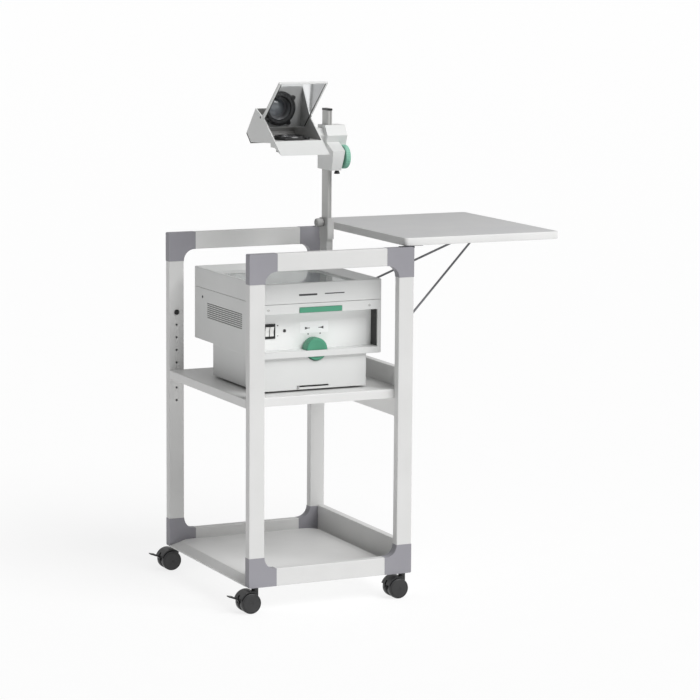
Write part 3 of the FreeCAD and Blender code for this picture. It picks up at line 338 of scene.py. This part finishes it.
# ---------------------------------------------------------------- wire stay
# 5.5 mm steel wire bent to a V: its ends turn in the posts' holes and its tip props the side shelf.
# Grey stove enamel over drawn wire, smoother than the powder coat.
WIRE_RADIUS = 2.75 * MM
WIRE_BEND = 9.0 * MM
BEND_STEPS = 8
STAY_LEG_Y = 231.0 * MM      # where each leg turns towards the post, from the middle
STAY_TIP_Y = 7.0 * MM        # half the width of the flat tip

enamelled_wire = grained("enamelled_wire", "#77777A", "#6C6C70", 0.3, 2.0 * MM, 0.01 * MM, Metallic=0.25)


def swept(shape, path, radius, bend, steps=20):
    """A round wire along a path of corners, each bent to a smooth curve, with flat ends."""
    line = [path[0]]
    for before, corner, after in zip(path, path[1:], path[2:]):
        a = (before - corner).normalized()
        b = (after - corner).normalized()
        half = a.angle(b) / 2
        reach = min(bend / math.tan(half), 0.45 * (before - corner).length, 0.45 * (after - corner).length)
        for step in range(BEND_STEPS + 1):
            t = step / BEND_STEPS
            line.append(corner + a * reach * (1 - t) ** 2 + b * reach * t ** 2)
    line.append(path[-1])
    normal = (line[1] - line[0]).orthogonal().normalized()
    loops = []
    for index, point in enumerate(line):
        ahead = line[min(index + 1, len(line) - 1)]
        behind = line[max(index - 1, 0)]
        along = (ahead - behind).normalized()
        normal = (normal - along * normal.dot(along)).normalized()
        side = along.cross(normal)
        loops.append([shape.verts.new(point + (normal * math.cos(2 * math.pi * k / steps)
                                               + side * math.sin(2 * math.pi * k / steps)) * radius)
                      for k in range(steps)])
    for first, second in zip(loops, loops[1:]):
        for k in range(steps):
            shape.faces.new((first[k], first[(k + 1) % steps], second[(k + 1) % steps], second[k]))
    shape.faces.new(list(reversed(loops[0])))
    shape.faces.new(loops[-1])


low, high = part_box("side_shelf_wire_stay")
foot_x = low.x + WIRE_RADIUS
foot_z = low.z + WIRE_RADIUS
tip_x = high.x - WIRE_RADIUS
tip_z = high.z - WIRE_RADIUS
half_path = [Vector((foot_x, low.y, foot_z)), Vector((foot_x, -STAY_LEG_Y, foot_z)),
             Vector((tip_x, -STAY_TIP_Y, tip_z))]
stay = bmesh.new()
swept(stay, half_path + [Vector((p.x, -p.y, p.z)) for p in reversed(half_path)], WIRE_RADIUS, WIRE_BEND)
piece_from(stay, "bent_wire_stay", [enamelled_wire], "wire_stay", ["side_shelf_wire_stay"], 50)

# ---------------------------------------------------------------- projector case
# Two-part housing of moulded polystyrene over a coated steel front panel: a narrow base, the wider
# upper case with its front recess, and the hinged stage lid. Neutral light grey with a fine matt grain.
CASE_GREY = "#DBDCDB"
CASE_GREY_DRIFT = "#D8D9D8"

moulded_case_plastic = grained("moulded_case_plastic", CASE_GREY, CASE_GREY_DRIFT, 0.5, MOULD_GRAIN,
                               MOULD_GRAIN_DEPTH)
# The front panel's near white is partly its pale coat and partly painted reflection, standing in for the
# light its recessed face throws back.
panel_steel_painted_sheen = grained("panel_steel_painted_sheen", "#F4F5F4", "#F2F3F2", 0.45, ORANGE_PEEL, 0.02 * MM)
rubber_foot_black = grained("rubber_foot_black", "#1E1E1E", "#262626", 0.8, 1.5 * MM, 0.05 * MM)
dress("projector_base_case", moulded_case_plastic, 0.8 * MM)
dress("projector_upper_case", moulded_case_plastic, 0.8 * MM)
dress("stage_lid", moulded_case_plastic, 1.2 * MM)
dress("projector_front_panel", panel_steel_painted_sheen, 0)
dress("projector_feet", rubber_foot_black, 1.0 * MM)
dress("projector_power_inlet", moulded_nylon_black, 0.5 * MM)

# ---------------------------------------------------------------- projector controls
# Green moulded knob and lid latch, two white rockers in a black surround, a dark indicator window,
# and markings printed on the panel and on a small white film label. The green parts are satin, and the
# rockers and the window glossy.
GREEN = "#4E9A7C"
KNOB_RIBS = 40
KNOB_RIB_DEPTH = 0.9 * MM
ADJUST_KNOB_THICK = 30.0 * MM
ADJUST_SHAFT = 4.0 * MM

moulded_green = grained("moulded_green", GREEN, "#4A9576", 0.4, MOULD_GRAIN, 0.02 * MM)
gloss_white_plastic = grained("gloss_white_plastic", "#F0F0EE", "#ECECEA", 0.22, 3.0 * MM, 0.01 * MM)
smoked_window = grained("smoked_window", "#2A2527", "#30292B", 0.12, 3.0 * MM, 0.005 * MM,
                        Coat_Weight=0.6)
label_film = grained("label_film", "#FFFFFF", "#FDFDFE", 0.3, 2.0 * MM, 0.005 * MM)
moulded_knob_grey = grained("moulded_knob_grey", "#A3A3A2", "#9D9D9C", 0.5, MOULD_GRAIN, MOULD_GRAIN_DEPTH)
printed_ink = grained("printed_ink", "#3A3A3C", "#444446", 0.5, 1.0 * MM, 0.004 * MM)


def knob_profile(radius, thickness, shaft, shaft_end):
    """A solid knob with a ribbed rim, a rounded and slightly dished front, and a shaft behind it."""
    return [(0, 1.2 * MM, 0), (radius * 0.62, 1.0 * MM, 0), (radius * 0.7, 0.2 * MM, 0),
            (radius - 3.4 * MM, 0, 0), (radius - 1.4 * MM, 0.6 * MM, 0.3), (radius - 0.3 * MM, 2.0 * MM, 1),
            (radius, 3.6 * MM, 1), (radius, thickness - 2.5 * MM, 1),
            (radius - 0.8 * MM, thickness - 0.6 * MM, 0.6), (radius - 2.4 * MM, thickness, 0),
            (shaft, thickness, 0), (shaft, shaft_end, 0), (0, shaft_end, 0)]


low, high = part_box("stage_adjust_knob")
knob_radius = (high.x - low.x) / 2
adjust = bmesh.new()
turned(adjust, knob_profile(knob_radius, ADJUST_KNOB_THICK, ADJUST_SHAFT, high.y - low.y),
       ((low.x + high.x) / 2, low.y, (low.z + high.z) / 2), (0, 1, 0), 240, KNOB_RIBS, KNOB_RIB_DEPTH)
piece_from(adjust, "ribbed_adjust_knob", [moulded_green], "adjust_knob", ["stage_adjust_knob"], 40)
dress("lid_latch_bar", moulded_green, 1.0 * MM)
dress("switch_frame", moulded_nylon_black, 0.4 * MM)
for hand in ("left", "right"):
    dress(f"switch_rocker_{hand}", gloss_white_plastic, 0.5 * MM)

low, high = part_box("indicator_lamp")
window = bmesh.new()
radius = (high.x - low.x) / 2
turned(window, [(0, 0, 0), (radius * 0.5, 0.15 * MM, 0), (radius * 0.85, 0.7 * MM, 0), (radius, 1.6 * MM, 0),
                (radius, high.y - low.y, 0), (0, high.y - low.y, 0)],
       ((low.x + high.x) / 2, low.y, (low.z + high.z) / 2), (0, 1, 0), 48)
piece_from(window, "indicator_window", [smoked_window], "trolley", ["indicator_lamp"], 40)


def flat_shape(shape, outline, y, thickness):
    """A thin print or film in front of a front face: an (x, z) outline with a little thickness."""
    front = [shape.verts.new((x, y - thickness, z)) for x, z in outline]
    rear = [shape.verts.new((x, y, z)) for x, z in outline]
    count = len(outline)
    for i in range(count):
        j = (i + 1) % count
        shape.faces.new((front[i], front[j], rear[j], rear[i]))
    shape.faces.new(front)
    shape.faces.new(list(reversed(rear)))


def bar(x, z, width, height):
    """Outline of an upright rectangle about a middle point."""
    return [(x - width / 2, z - height / 2), (x + width / 2, z - height / 2),
            (x + width / 2, z + height / 2), (x - width / 2, z + height / 2)]


def disc(x, z, radius, steps=20):
    """Outline of an upright circle about a middle point."""
    return [(x + radius * math.cos(2 * math.pi * k / steps), z + radius * math.sin(2 * math.pi * k / steps))
            for k in range(steps)]


PRINT = 0.08 * MM            # thickness of the ink
FILM = 0.15 * MM             # thickness of the label
LABEL_WIDTH = 75 * MM
LABEL_HEIGHT = 27.5 * MM
LABEL_ASIDE = 6.5 * MM       # the label's middle, right of the knob's
LABEL_OVER_KNOB = 22.3 * MM
panel_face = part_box("projector_front_panel")[0].y - 0.02 * MM
low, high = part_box("stage_adjust_knob")
label_x = (low.x + high.x) / 2 + LABEL_ASIDE
label_z = high.z + LABEL_OVER_KNOB
label = bmesh.new()
flat_shape(label, rounded_outline(label_x - LABEL_WIDTH / 2, label_x + LABEL_WIDTH / 2,
                                  label_z - LABEL_HEIGHT / 2, label_z + LABEL_HEIGHT / 2, 2 * MM), panel_face,
           FILM)
piece_from(label, "control_label", [label_film], "trolley")

# Two arrows on the label taper towards each other, with a dot on the panel below each; a dot and a dash
# stand beside the switch.
ARROW_ASIDE = 18 * MM
ARROW_HALF = 6.5 * MM
ARROW_HEAD = 3.4 * MM        # half the height of the wide end
ARROW_STEM = 0.9 * MM        # half the height of the stem
ARROW_NECK = 1.0 * MM        # where the taper meets the stem, from the arrow's middle
DOT_ASIDE = 16 * MM
DOT_BELOW = 16.5 * MM
SWITCH_MARK_ASIDE = 7 * MM
marks = bmesh.new()
arrow_z = label_z - 2 * MM
ink_face = panel_face - FILM - 0.01 * MM
for toward in (-1, 1):
    arrow = [(-ARROW_HALF, ARROW_HEAD), (-ARROW_HALF, -ARROW_HEAD), (ARROW_NECK, -ARROW_STEM),
             (ARROW_HALF, -ARROW_STEM), (ARROW_HALF, ARROW_STEM), (ARROW_NECK, ARROW_STEM)]
    placed = [(label_x + toward * (x - ARROW_ASIDE), arrow_z + z) for x, z in arrow]
    flat_shape(marks, placed, ink_face, PRINT)
low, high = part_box("switch_frame")
mark_x = high.x + SWITCH_MARK_ASIDE
flat_shape(marks, disc(mark_x, high.z - 5 * MM, 1.7 * MM), panel_face, PRINT)
flat_shape(marks, bar(mark_x, low.z + 6 * MM, 4 * MM, 1.2 * MM), panel_face, PRINT)
for toward in (-1, 1):
    flat_shape(marks, disc(label_x - toward * DOT_ASIDE, label_z - DOT_BELOW, 1.8 * MM), panel_face, PRINT)
piece_from(marks, "printed_control_marks", [printed_ink], "trolley")

# Two plain printed bars stand on the lid's front where such a case carries its maker's words.
# Each is its middle's x and z, its width and its height, in millimetres.
LID_BARS = ((-213.2, 750.5, 48, 4.6), (-143, 751.2, 52, 2.6))
bars = bmesh.new()
lid_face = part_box("stage_lid")[0].y - 0.01 * MM
for x, z, width, height in LID_BARS:
    flat_shape(bars, bar(x * MM, z * MM, width * MM, height * MM), lid_face, PRINT)
piece_from(bars, "printed_lid_bars", [printed_ink], "stage_lid")

# Two screws hold the front strip. Each profile point is a radius and a depth, in millimetres.
STRIP_SCREW_X = (-317 * MM, -50 * MM)
STRIP_SCREW_Z = 717 * MM
STRIP_SCREW_PROFILE = [(0, -0.2), (1.0, -0.25), (1.15, -0.7), (2.8, -0.6), (3.2, -0.3), (3.2, 0.4), (0, 0.4)]
low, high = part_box("projector_upper_case")
screws = bmesh.new()
for x in STRIP_SCREW_X:
    turned(screws, [(r * MM, h * MM, 0) for r, h in STRIP_SCREW_PROFILE],
           (x, low.y + 0.4 * MM, STRIP_SCREW_Z), (0, 1, 0), 32)
piece_from(screws, "strip_screws", [zinc_plated_steel], "trolley")

# A black foam filter lies behind the side louvres, and one dark screw stands above them.
VENT_SPAN = (-92 * MM, 131 * MM)
VENT_RISE = (58 * MM, 102 * MM)
FOAM_THICK = 1.5 * MM
SIDE_SCREW_Y = 158 * MM
SIDE_SCREW_Z = 708 * MM
SIDE_SCREW_PROFILE = [(0, -0.6), (1.2, -0.6), (1.3, -1.1), (2.6, -1.0), (3.6, -0.3), (3.6, 0), (2.2, 0),
                      (2.2, 3), (0, 3)]
inside_x = low.x + 3.4 * MM  # just behind the case's wall
black_filter_foam = grained("black_filter_foam", "#1E1E1F", "#262627", 0.9, 1.6 * MM, 0.3 * MM)
foam = bmesh.new()
stacked(foam, [(rounded_outline(inside_x, inside_x + FOAM_THICK, *VENT_SPAN, 0.4 * MM), low.z + rise)
               for rise in VENT_RISE])
piece_from(foam, "vent_filter_foam", [black_filter_foam], "trolley")
side_screw = bmesh.new()
turned(side_screw, [(r * MM, h * MM, 0) for r, h in SIDE_SCREW_PROFILE], (low.x, SIDE_SCREW_Y, SIDE_SCREW_Z),
       (1, 0, 0), 32)
piece_from(side_screw, "case_side_screw", [burnished_steel], "trolley")

# Dark upright ribs stand on the recess's right wall as painted shade, darkening the wall where it lies in
# shadow.
SHADE_RIBS = 7
SHADE_RIB_PITCH = 4.6 * MM
SHADE_RIB_SETBACK = 5.5 * MM      # from the case's front to the first rib
SHADE_RIB_WIDTH = 3.2 * MM
SHADE_RIB_DEPTH = 1.6 * MM
SHADE_RIB_RISE = (17 * MM, 106 * MM)
shade_ribs_shape = bmesh.new()
shade_ribs_x = high.x - 12 * MM
for rib in range(SHADE_RIBS):
    rib_y = low.y + SHADE_RIB_SETBACK + rib * SHADE_RIB_PITCH
    outline = rounded_outline(shade_ribs_x - SHADE_RIB_DEPTH, shade_ribs_x, rib_y, rib_y + SHADE_RIB_WIDTH, 0.7 * MM)
    stacked(shade_ribs_shape, [(outline, low.z + rise) for rise in SHADE_RIB_RISE])
piece_from(shade_ribs_shape, "recess_painted_shade_ribs", [moulded_wheel_black], "trolley")

# A small pull tab stands at the left end of the slot in the base's front.
TAB_SPAN = (-237 * MM, -231 * MM)
TAB_RISE = (521.5 * MM, 529.5 * MM)
low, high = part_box("projector_base_case")
tab = bmesh.new()
outline = rounded_outline(*TAB_SPAN, low.y - 1.6 * MM, low.y + 1.0 * MM, 0.6 * MM)
stacked(tab, [(outline, height) for height in TAB_RISE])
piece_from(tab, "slot_pull_tab", [moulded_knob_grey], "trolley")

# ---------------------------------------------------------------- light stage
# A clear glass plate over an acrylic sheet whose fine rings bend the lamp's light to the lens.
# The rings are far finer than a millimetre, and are drawn 2 mm apart so that they show.
RING_PITCH = 2.0 * MM
RING_STRENGTH = 0.6
RING_RELIEF = 0.4            # groove depth as a share of the pitch

clear_float_glass = grained("clear_float_glass", "#EEF3F1", "#E9F0EE", 0.06, 20 * MM, 0.002 * MM,
                            Transmission_Weight=1.0, IOR=1.52)
ringed_acrylic = grained("ringed_acrylic", "#D9DBDA", "#D2D5D4", 0.2, 4 * MM, 0.002 * MM,
                         Transmission_Weight=0.25, IOR=1.49)
dress("stage_glass", clear_float_glass, 0.5 * MM)
low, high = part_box("fresnel_lens")
middle = (low + high) / 2
tree = ringed_acrylic.node_tree
place = add(tree, "ShaderNodeTexCoord", {}).outputs["Object"]
shifted = add(tree, "ShaderNodeVectorMath", {0: place, 1: (middle.x, middle.y, high.z)}, operation="DISTANCE")
turns = add(tree, "ShaderNodeMath", {0: shifted.outputs["Value"], 1: RING_PITCH}, operation="MODULO")
groove = add(tree, "ShaderNodeBump", {"Height": turns.outputs[0], "Strength": RING_STRENGTH,
                                    "Distance": RING_RELIEF})
tree.links.new(groove.outputs["Normal"], tree.nodes["Principled BSDF"].inputs["Normal"])
dress("fresnel_lens", ringed_acrylic, 0.3 * MM)

# A quartz halogen lamp and its cooling fan stand under the stage.
quartz_lamp_glass = grained("quartz_lamp_glass", "#F2F2F0", "#EDEDEA", 0.05, 8 * MM, 0.003 * MM,
                            Transmission_Weight=0.7, IOR=1.46)
dress("halogen_lamp", quartz_lamp_glass, 0.5 * MM)
dress("cooling_fan", moulded_nylon_black, 0.6 * MM)

# ---------------------------------------------------------------- column and bracket
# Flat aluminium extrusion, satin anodised with its draw lines along its length, in a moulded sleeve
# bolted to the case; a small ribbed knob clamps it. Anodising dulls the metal to a soft grey sheen.
column_aluminium = grained("anodised_aluminium", "#BBBBB9", "#B4B4B2", 0.38, 0.8 * MM, 0.012 * MM,
                           (1, 1, 0.02), Metallic=0.25)
dress("column", column_aluminium, 0.4 * MM)
dress("column_cap", moulded_nylon_black, 1.0 * MM)
moulded_bracket_grey = grained("moulded_bracket_grey", "#BDBDBC", "#B8B8B7", 0.5, MOULD_GRAIN,
                               MOULD_GRAIN_DEPTH)
dress("column_bracket", moulded_bracket_grey, 0.9 * MM)

CLAMP_KNOB_THICK = 20 * MM
CLAMP_SHAFT = 3 * MM
CLAMP_RIBS = 18
CLAMP_RIB_DEPTH = 0.8 * MM
low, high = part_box("column_clamp_knob")
clamp = bmesh.new()
turned(clamp, knob_profile((high.z - low.z) / 2, CLAMP_KNOB_THICK, CLAMP_SHAFT, high.x - low.x),
       (low.x, (low.y + high.y) / 2, (low.z + high.z) / 2), (1, 0, 0), 144, CLAMP_RIBS, CLAMP_RIB_DEPTH)
piece_from(clamp, "ribbed_clamp_knob", [moulded_knob_grey], "clamp_knob",
           ["column_clamp_knob"], 40)

# ---------------------------------------------------------------- focusing carriage
# Moulded sleeve that runs on the column, driven by a green ribbed knob, with a dark stop screw below.
# The knob's green is painted paler than the ones on the case: painted light, for the light falling on its
# rim.
FOCUS_KNOB_THICK = 13 * MM
FOCUS_SHAFT = 4 * MM

dress("focus_carriage", moulded_case_plastic, 1.0 * MM)
low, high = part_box("focus_knob")
radius = (high.z - low.z) / 2
green_painted_light = grained("mint_green_painted_light", "#83BEA8", "#7EBAA3", 0.35, MOULD_GRAIN, 0.02 * MM)
focus = bmesh.new()
turned(focus, knob_profile(radius, FOCUS_KNOB_THICK, FOCUS_SHAFT, high.x - low.x),
       (high.x, (low.y + high.y) / 2, (low.z + high.z) / 2), (-1, 0, 0), 240, KNOB_RIBS, KNOB_RIB_DEPTH)
piece_from(focus, "ribbed_focus_knob", [green_painted_light], "focus_knob", ["focus_knob"], 40)

low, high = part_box("carriage_stop_screw")
height = (high.z - low.z) / MM
# Radius and height over the head's underside, in millimetres: tapered head, then shank.
STOP_PROFILE = [(0, 0), (6.6, 0), (7.4, 0.7), (7.4, 1.6), (4.4, 8.4), (2.5, 8.5), (2.5, height), (0, height)]
stop = bmesh.new()
turned(stop, [(r * MM, h * MM, 0) for r, h in STOP_PROFILE],
       ((low.x + high.x) / 2, (low.y + high.y) / 2, low.z), (0, 0, 1), 48)
piece_from(stop, "tapered_stop_screw", [moulded_nylon_black], "stop_screw",
           ["carriage_stop_screw"], 30)

# ---------------------------------------------------------------- projection head
# Folded and moulded housing open to the front, with the black lens mount screwed to its floor. Its
# inside faces are painted a darker matt grey: painted shade for the enclosed inside of the head.
SHADED_INSIDE_HALF_WIDTH = 62.5 * MM
SHADED_INSIDE_DEPTH = 72 * MM
SHADED_INSIDE_LOW = 1100 * MM

housing = dress("head_housing", moulded_case_plastic, 0.6 * MM)
HOUSING_MIDDLE = Vector((-177, 6, 1140)) * MM
painted_inside_shade = grained("painted_inside_shade", "#A6A6A5", "#9F9F9E", 0.6, MOULD_GRAIN, MOULD_GRAIN_DEPTH)
housing.data.materials.append(painted_inside_shade)
# Faces that look into the head take the painted shade.
for face in housing.data.polygons:
    spot = housing.matrix_world @ face.center
    inward = HOUSING_MIDDLE - spot
    faces_in = (housing.matrix_world.to_3x3() @ face.normal).dot(inward) > 0
    if faces_in and abs(inward.x) < SHADED_INSIDE_HALF_WIDTH and inward.y < SHADED_INSIDE_DEPTH and spot.z > SHADED_INSIDE_LOW:
        face.material_index = 1

low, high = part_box("head_housing")
CHEEK_SCREW_Y = 24 * MM
CHEEK_SCREW_Z = 1160.5 * MM
CHEEK_SCREW_PROFILE = [(0, -0.9), (1.6, -0.9), (2.8, -0.4), (2.8, 0.2), (0, 0.2)]
hinge_screw = bmesh.new()
turned(hinge_screw, [(r * MM, h * MM, 0) for r, h in CHEEK_SCREW_PROFILE],
       (low.x, CHEEK_SCREW_Y, CHEEK_SCREW_Z), (1, 0, 0), 32)
piece_from(hinge_screw, "head_cheek_screw", [burnished_steel], "carriage")

# A soft black strip closes the housing's sloping rear edge.
STRIP_LOW = Vector((82.5 * MM, 1095.8 * MM))
STRIP_HIGH = Vector((108.0 * MM, 1118.8 * MM))
STRIP_THICK = 4.0 * MM
STRIP_LENGTH = 127.4 * MM
strip_x = low.x + 0.3 * MM
slope = (STRIP_HIGH - STRIP_LOW).normalized()
out = Vector((slope.y, -slope.x)) * STRIP_THICK
strip = bmesh.new()
corners = (STRIP_LOW, STRIP_HIGH, STRIP_HIGH + out, STRIP_LOW + out)
ends = [[strip.verts.new((x, corner.x, corner.y)) for corner in corners]
        for x in (strip_x, strip_x + STRIP_LENGTH)]


def bar_faces(shape, ends):
    """Closes a straight bar between its two four-cornered ends."""
    for i in range(4):
        shape.faces.new((ends[0][i], ends[0][(i + 1) % 4], ends[1][(i + 1) % 4], ends[1][i]))
    for end in ends:
        shape.faces.new(end)


bar_faces(strip, ends)
piece_from(strip, "head_edge_strip", [rubber_foot_black], "carriage")

# The lens mount is turned from aluminium and anodised satin black, with a plain turned bore. Its points
# are a radius and a height over its lower end, in millimetres: barrel, flange, rim, lined bore.
MOUNT_LUGS = (54, 144, 234, 324)
LUG_CIRCLE = 44.0 * MM
LUG_FOOT = 31.1 * MM
LUG_PROFILE = [(0, 0), (6, 0), (6, 5.2), (5.4, 5.9), (3, 5.9), (2.9, 5.0), (0, 5.0)]
BORE_RADIUS = 28.6 * MM      # faces inside this radius are the bore
BORE_FLOOR = 11 * MM
low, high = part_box("lens_barrel")
centre = (low + high) / 2
MOUNT_PROFILE = [(22.3, 0), (32.2, 0), (32.7, 0.5), (32.7, 31), (43, 31.1), (43, 35.5), (42.2, 36.3),
                 (38.0, 36.4), (37.4, 37.0), (36.6, 39.4), (35.8, 40.0), (31.0, 40.0), (30.2, 39.6),
                 (29.4, 37.6), (28.4, 36.8), (28, 36.0), (28, 30), (27.4, 29.6), (27.4, 11.4), (22.3, 11.2)]
mount = bmesh.new()
turned(mount, [(r * MM, h * MM, 0) for r, h in MOUNT_PROFILE], (centre.x, centre.y, low.z), (0, 0, 1), 128)
for face in mount.faces:
    spot = face.calc_center_median()
    if math.hypot(spot.x - centre.x, spot.y - centre.y) < BORE_RADIUS and spot.z > low.z + BORE_FLOOR:
        face.material_index = 1
for turn in MOUNT_LUGS:
    spot = (centre.x + LUG_CIRCLE * math.cos(math.radians(turn)),
            centre.y + LUG_CIRCLE * math.sin(math.radians(turn)), low.z + LUG_FOOT)
    turned(mount, [(r * MM, h * MM, 0) for r, h in LUG_PROFILE], spot, (0, 0, 1), 40)
satin_black_anodising = grained("satin_black_anodising", "#161617", "#1B1B1C", 0.26, 1.0 * MM, 0.01 * MM,
                                Coat_Weight=0.3)
turned_grey_lining = grained("turned_grey_lining", "#7C7C7E", "#747476", 0.3, 1.0 * MM, 0.01 * MM,
                             Metallic=0.6)
piece_from(mount, "lens_mount", [satin_black_anodising, turned_grey_lining], "carriage",
           ["lens_barrel"], 34)

# The lens's upper face is ground to a shallow dome and coated against reflections.
LENS_CURVE = 40 * MM
coated_lens_glass = grained("coated_lens_glass", "#8C9094", "#868A8F", 0.05, 20 * MM, 0.001 * MM,
                            Transmission_Weight=0.35, IOR=1.6, Coat_Weight=1.0)
low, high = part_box("objective_lens")
centre = (low + high) / 2
radius = (high.x - low.x) / 2
lens = bmesh.new()
dome = [(0, high.z - low.z, 0)]
for step in range(1, 9):
    reach = radius * step / 8
    dome.append((reach, high.z - low.z - (LENS_CURVE - math.sqrt(LENS_CURVE ** 2 - reach ** 2)), 0))
turned(lens, [(0, 0, 0), (radius - 0.4 * MM, 0, 0), (radius, 0.4 * MM, 0)] + dome[::-1],
       (centre.x, centre.y, low.z), (0, 0, 1), 96)
piece_from(lens, "objective_glass", [coated_lens_glass], "carriage", ["objective_lens"], 40)

# ---------------------------------------------------------------- mirror flap
# Front-silvered glass in a thin moulded tray, hinged above the lens and held open by friction. The
# silver lies on the glass's face, so it gives one sharp reflection.
dress("mirror_frame", moulded_case_plastic, 0.5 * MM)
front_silvered_glass = grained("front_silvered_glass", "#F0F1F2", "#ECEEEF", 0.06, 20 * MM, 0.001 * MM,
                               Metallic=1.0)
dress("mirror_glass", front_silvered_glass, 0.3 * MM)

# Two dark strips grip the glass along its long edges.
EDGE_STRIP_WIDTH = 1.8 * MM
EDGE_STRIP_RISE = (-0.6 * MM, 0.5 * MM)      # from below the glass's face to above it
MIRROR_LEAN = math.radians(138)
low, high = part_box("mirror_glass")
gasket = bmesh.new()
down = Vector((0, high.y - 2.0 * MM, low.z + 0.2 * MM))
up_end = Vector((0, low.y + 0.6 * MM, high.z - 1.6 * MM))
facing = Vector((0, -math.sin(MIRROR_LEAN), math.cos(MIRROR_LEAN)))
under, over = EDGE_STRIP_RISE
corners = ((0, under), (EDGE_STRIP_WIDTH, under), (EDGE_STRIP_WIDTH, over), (0, over))
for x in (low.x - 0.2 * MM, high.x + 0.2 * MM - EDGE_STRIP_WIDTH):
    ends = [[gasket.verts.new((x + across, end.y + facing.y * lift, end.z + facing.z * lift))
             for across, lift in corners] for end in (down, up_end)]
    bar_faces(gasket, ends)
piece_from(gasket, "mirror_edge_strips", [rubber_foot_black], "mirror_flap")

# ---------------------------------------------------------------- floor, light and camera
# A plain pale floor in a white room that is dimmer on the left, and one broad soft light from the
# front right. The floor glows a little, so that it stays pale right up to the object.
FLOOR_HALF = 90.0            # metres, so that its edge is never in view
FLOOR_GLOW = 0.8
floor_shape = bmesh.new()
bmesh.ops.create_grid(floor_shape, x_segments=2, y_segments=2, size=FLOOR_HALF)
floor_mesh = bpy.data.meshes.new("studio_floor")
floor_shape.to_mesh(floor_mesh)
floor_shape.free()
floor = bpy.data.objects.new("studio_floor", floor_mesh)
floor.location.z = -0.2 * MM
bpy.context.scene.collection.objects.link(floor)
matt_floor_paper = grained("matt_floor_paper", "#7C7C7C", "#7B7B7B", 0.9, 30 * MM, 0.01 * MM)
paper = matt_floor_paper.node_tree.nodes["Principled BSDF"]
paper.inputs["Specular IOR Level"].default_value = 0.1
paper.inputs["Emission Color"].default_value = (1, 1, 1, 1)
paper.inputs["Emission Strength"].default_value = FLOOR_GLOW
floor_mesh.materials.append(matt_floor_paper)
floor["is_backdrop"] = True

world = bpy.data.worlds.new("white_room")
bpy.context.scene.world = world
world.use_nodes = True
room = world.node_tree
ROOM_LIGHT = 0.42
DARK_SIDE_LIGHT = 0.14
GLOSS_LIGHT = 0.62           # what shiny faces reflect
seen = add(room, "ShaderNodeLightPath", {}).outputs
toward = add(room, "ShaderNodeSeparateXYZ", {0: add(room, "ShaderNodeTexCoord", {}).outputs["Generated"]})
sideways = add(room, "ShaderNodeMapRange", {"Value": toward.outputs["X"], "From Min": -0.8,
                                            "From Max": 0.3, "To Min": DARK_SIDE_LIGHT,
                                            "To Max": ROOM_LIGHT})
soft = add(room, "ShaderNodeMapRange", {"Value": seen["Is Glossy Ray"], "To Min": sideways.outputs["Result"],
                                        "To Max": GLOSS_LIGHT})
brightness = add(room, "ShaderNodeMapRange", {"Value": seen["Is Camera Ray"],
                                              "To Min": soft.outputs["Result"], "To Max": 1.0})
background = room.nodes["Background"]
background.inputs["Color"].default_value = (1, 1, 1, 1)
room.links.new(brightness.outputs["Result"], background.inputs["Strength"])

KEY_SPREAD = math.radians(40)
KEY_ENERGY = 2.26
KEY_DIRECTION = Vector((-0.31, 0.62, -0.72))
key_data = bpy.data.lights.new("broad_key", "SUN")
key_data.energy = KEY_ENERGY
key_data.angle = KEY_SPREAD
key = bpy.data.objects.new("broad_key", key_data)
key.rotation_mode = "QUATERNION"
key.rotation_quaternion = KEY_DIRECTION.to_track_quat("-Z", "Y")
bpy.context.scene.collection.objects.link(key)

CAMERA_PLACE = (-3.057, -6.397, 1.647)
CAMERA_YAW = math.radians(25.5)
CAMERA_DOWN = math.radians(8.59)
CAMERA_ROLL = math.radians(0.415)
CAMERA_LENS = 147.65         # millimetres, on a 36 mm wide sensor
forward = Vector((math.sin(CAMERA_YAW) * math.cos(CAMERA_DOWN), math.cos(CAMERA_YAW) * math.cos(CAMERA_DOWN),
                  -math.sin(CAMERA_DOWN)))
level = Vector((math.cos(CAMERA_YAW), -math.sin(CAMERA_YAW), 0))
upright = level.cross(forward)
right = level * math.cos(CAMERA_ROLL) + upright * math.sin(CAMERA_ROLL)
up = upright * math.cos(CAMERA_ROLL) - level * math.sin(CAMERA_ROLL)
camera_data = bpy.data.cameras.new("camera")
camera_data.sensor_width = 36.0
camera_data.lens = CAMERA_LENS
camera_data.clip_end = 400.0
camera = bpy.data.objects.new("camera", camera_data)
turn = Matrix((right, up, -forward)).transposed().to_4x4()
camera.matrix_world = Matrix.Translation(CAMERA_PLACE) @ turn
bpy.context.scene.collection.objects.link(camera)
bpy.context.scene.camera = camera
bpy.context.scene.view_settings.view_transform = "Standard"

low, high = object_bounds()
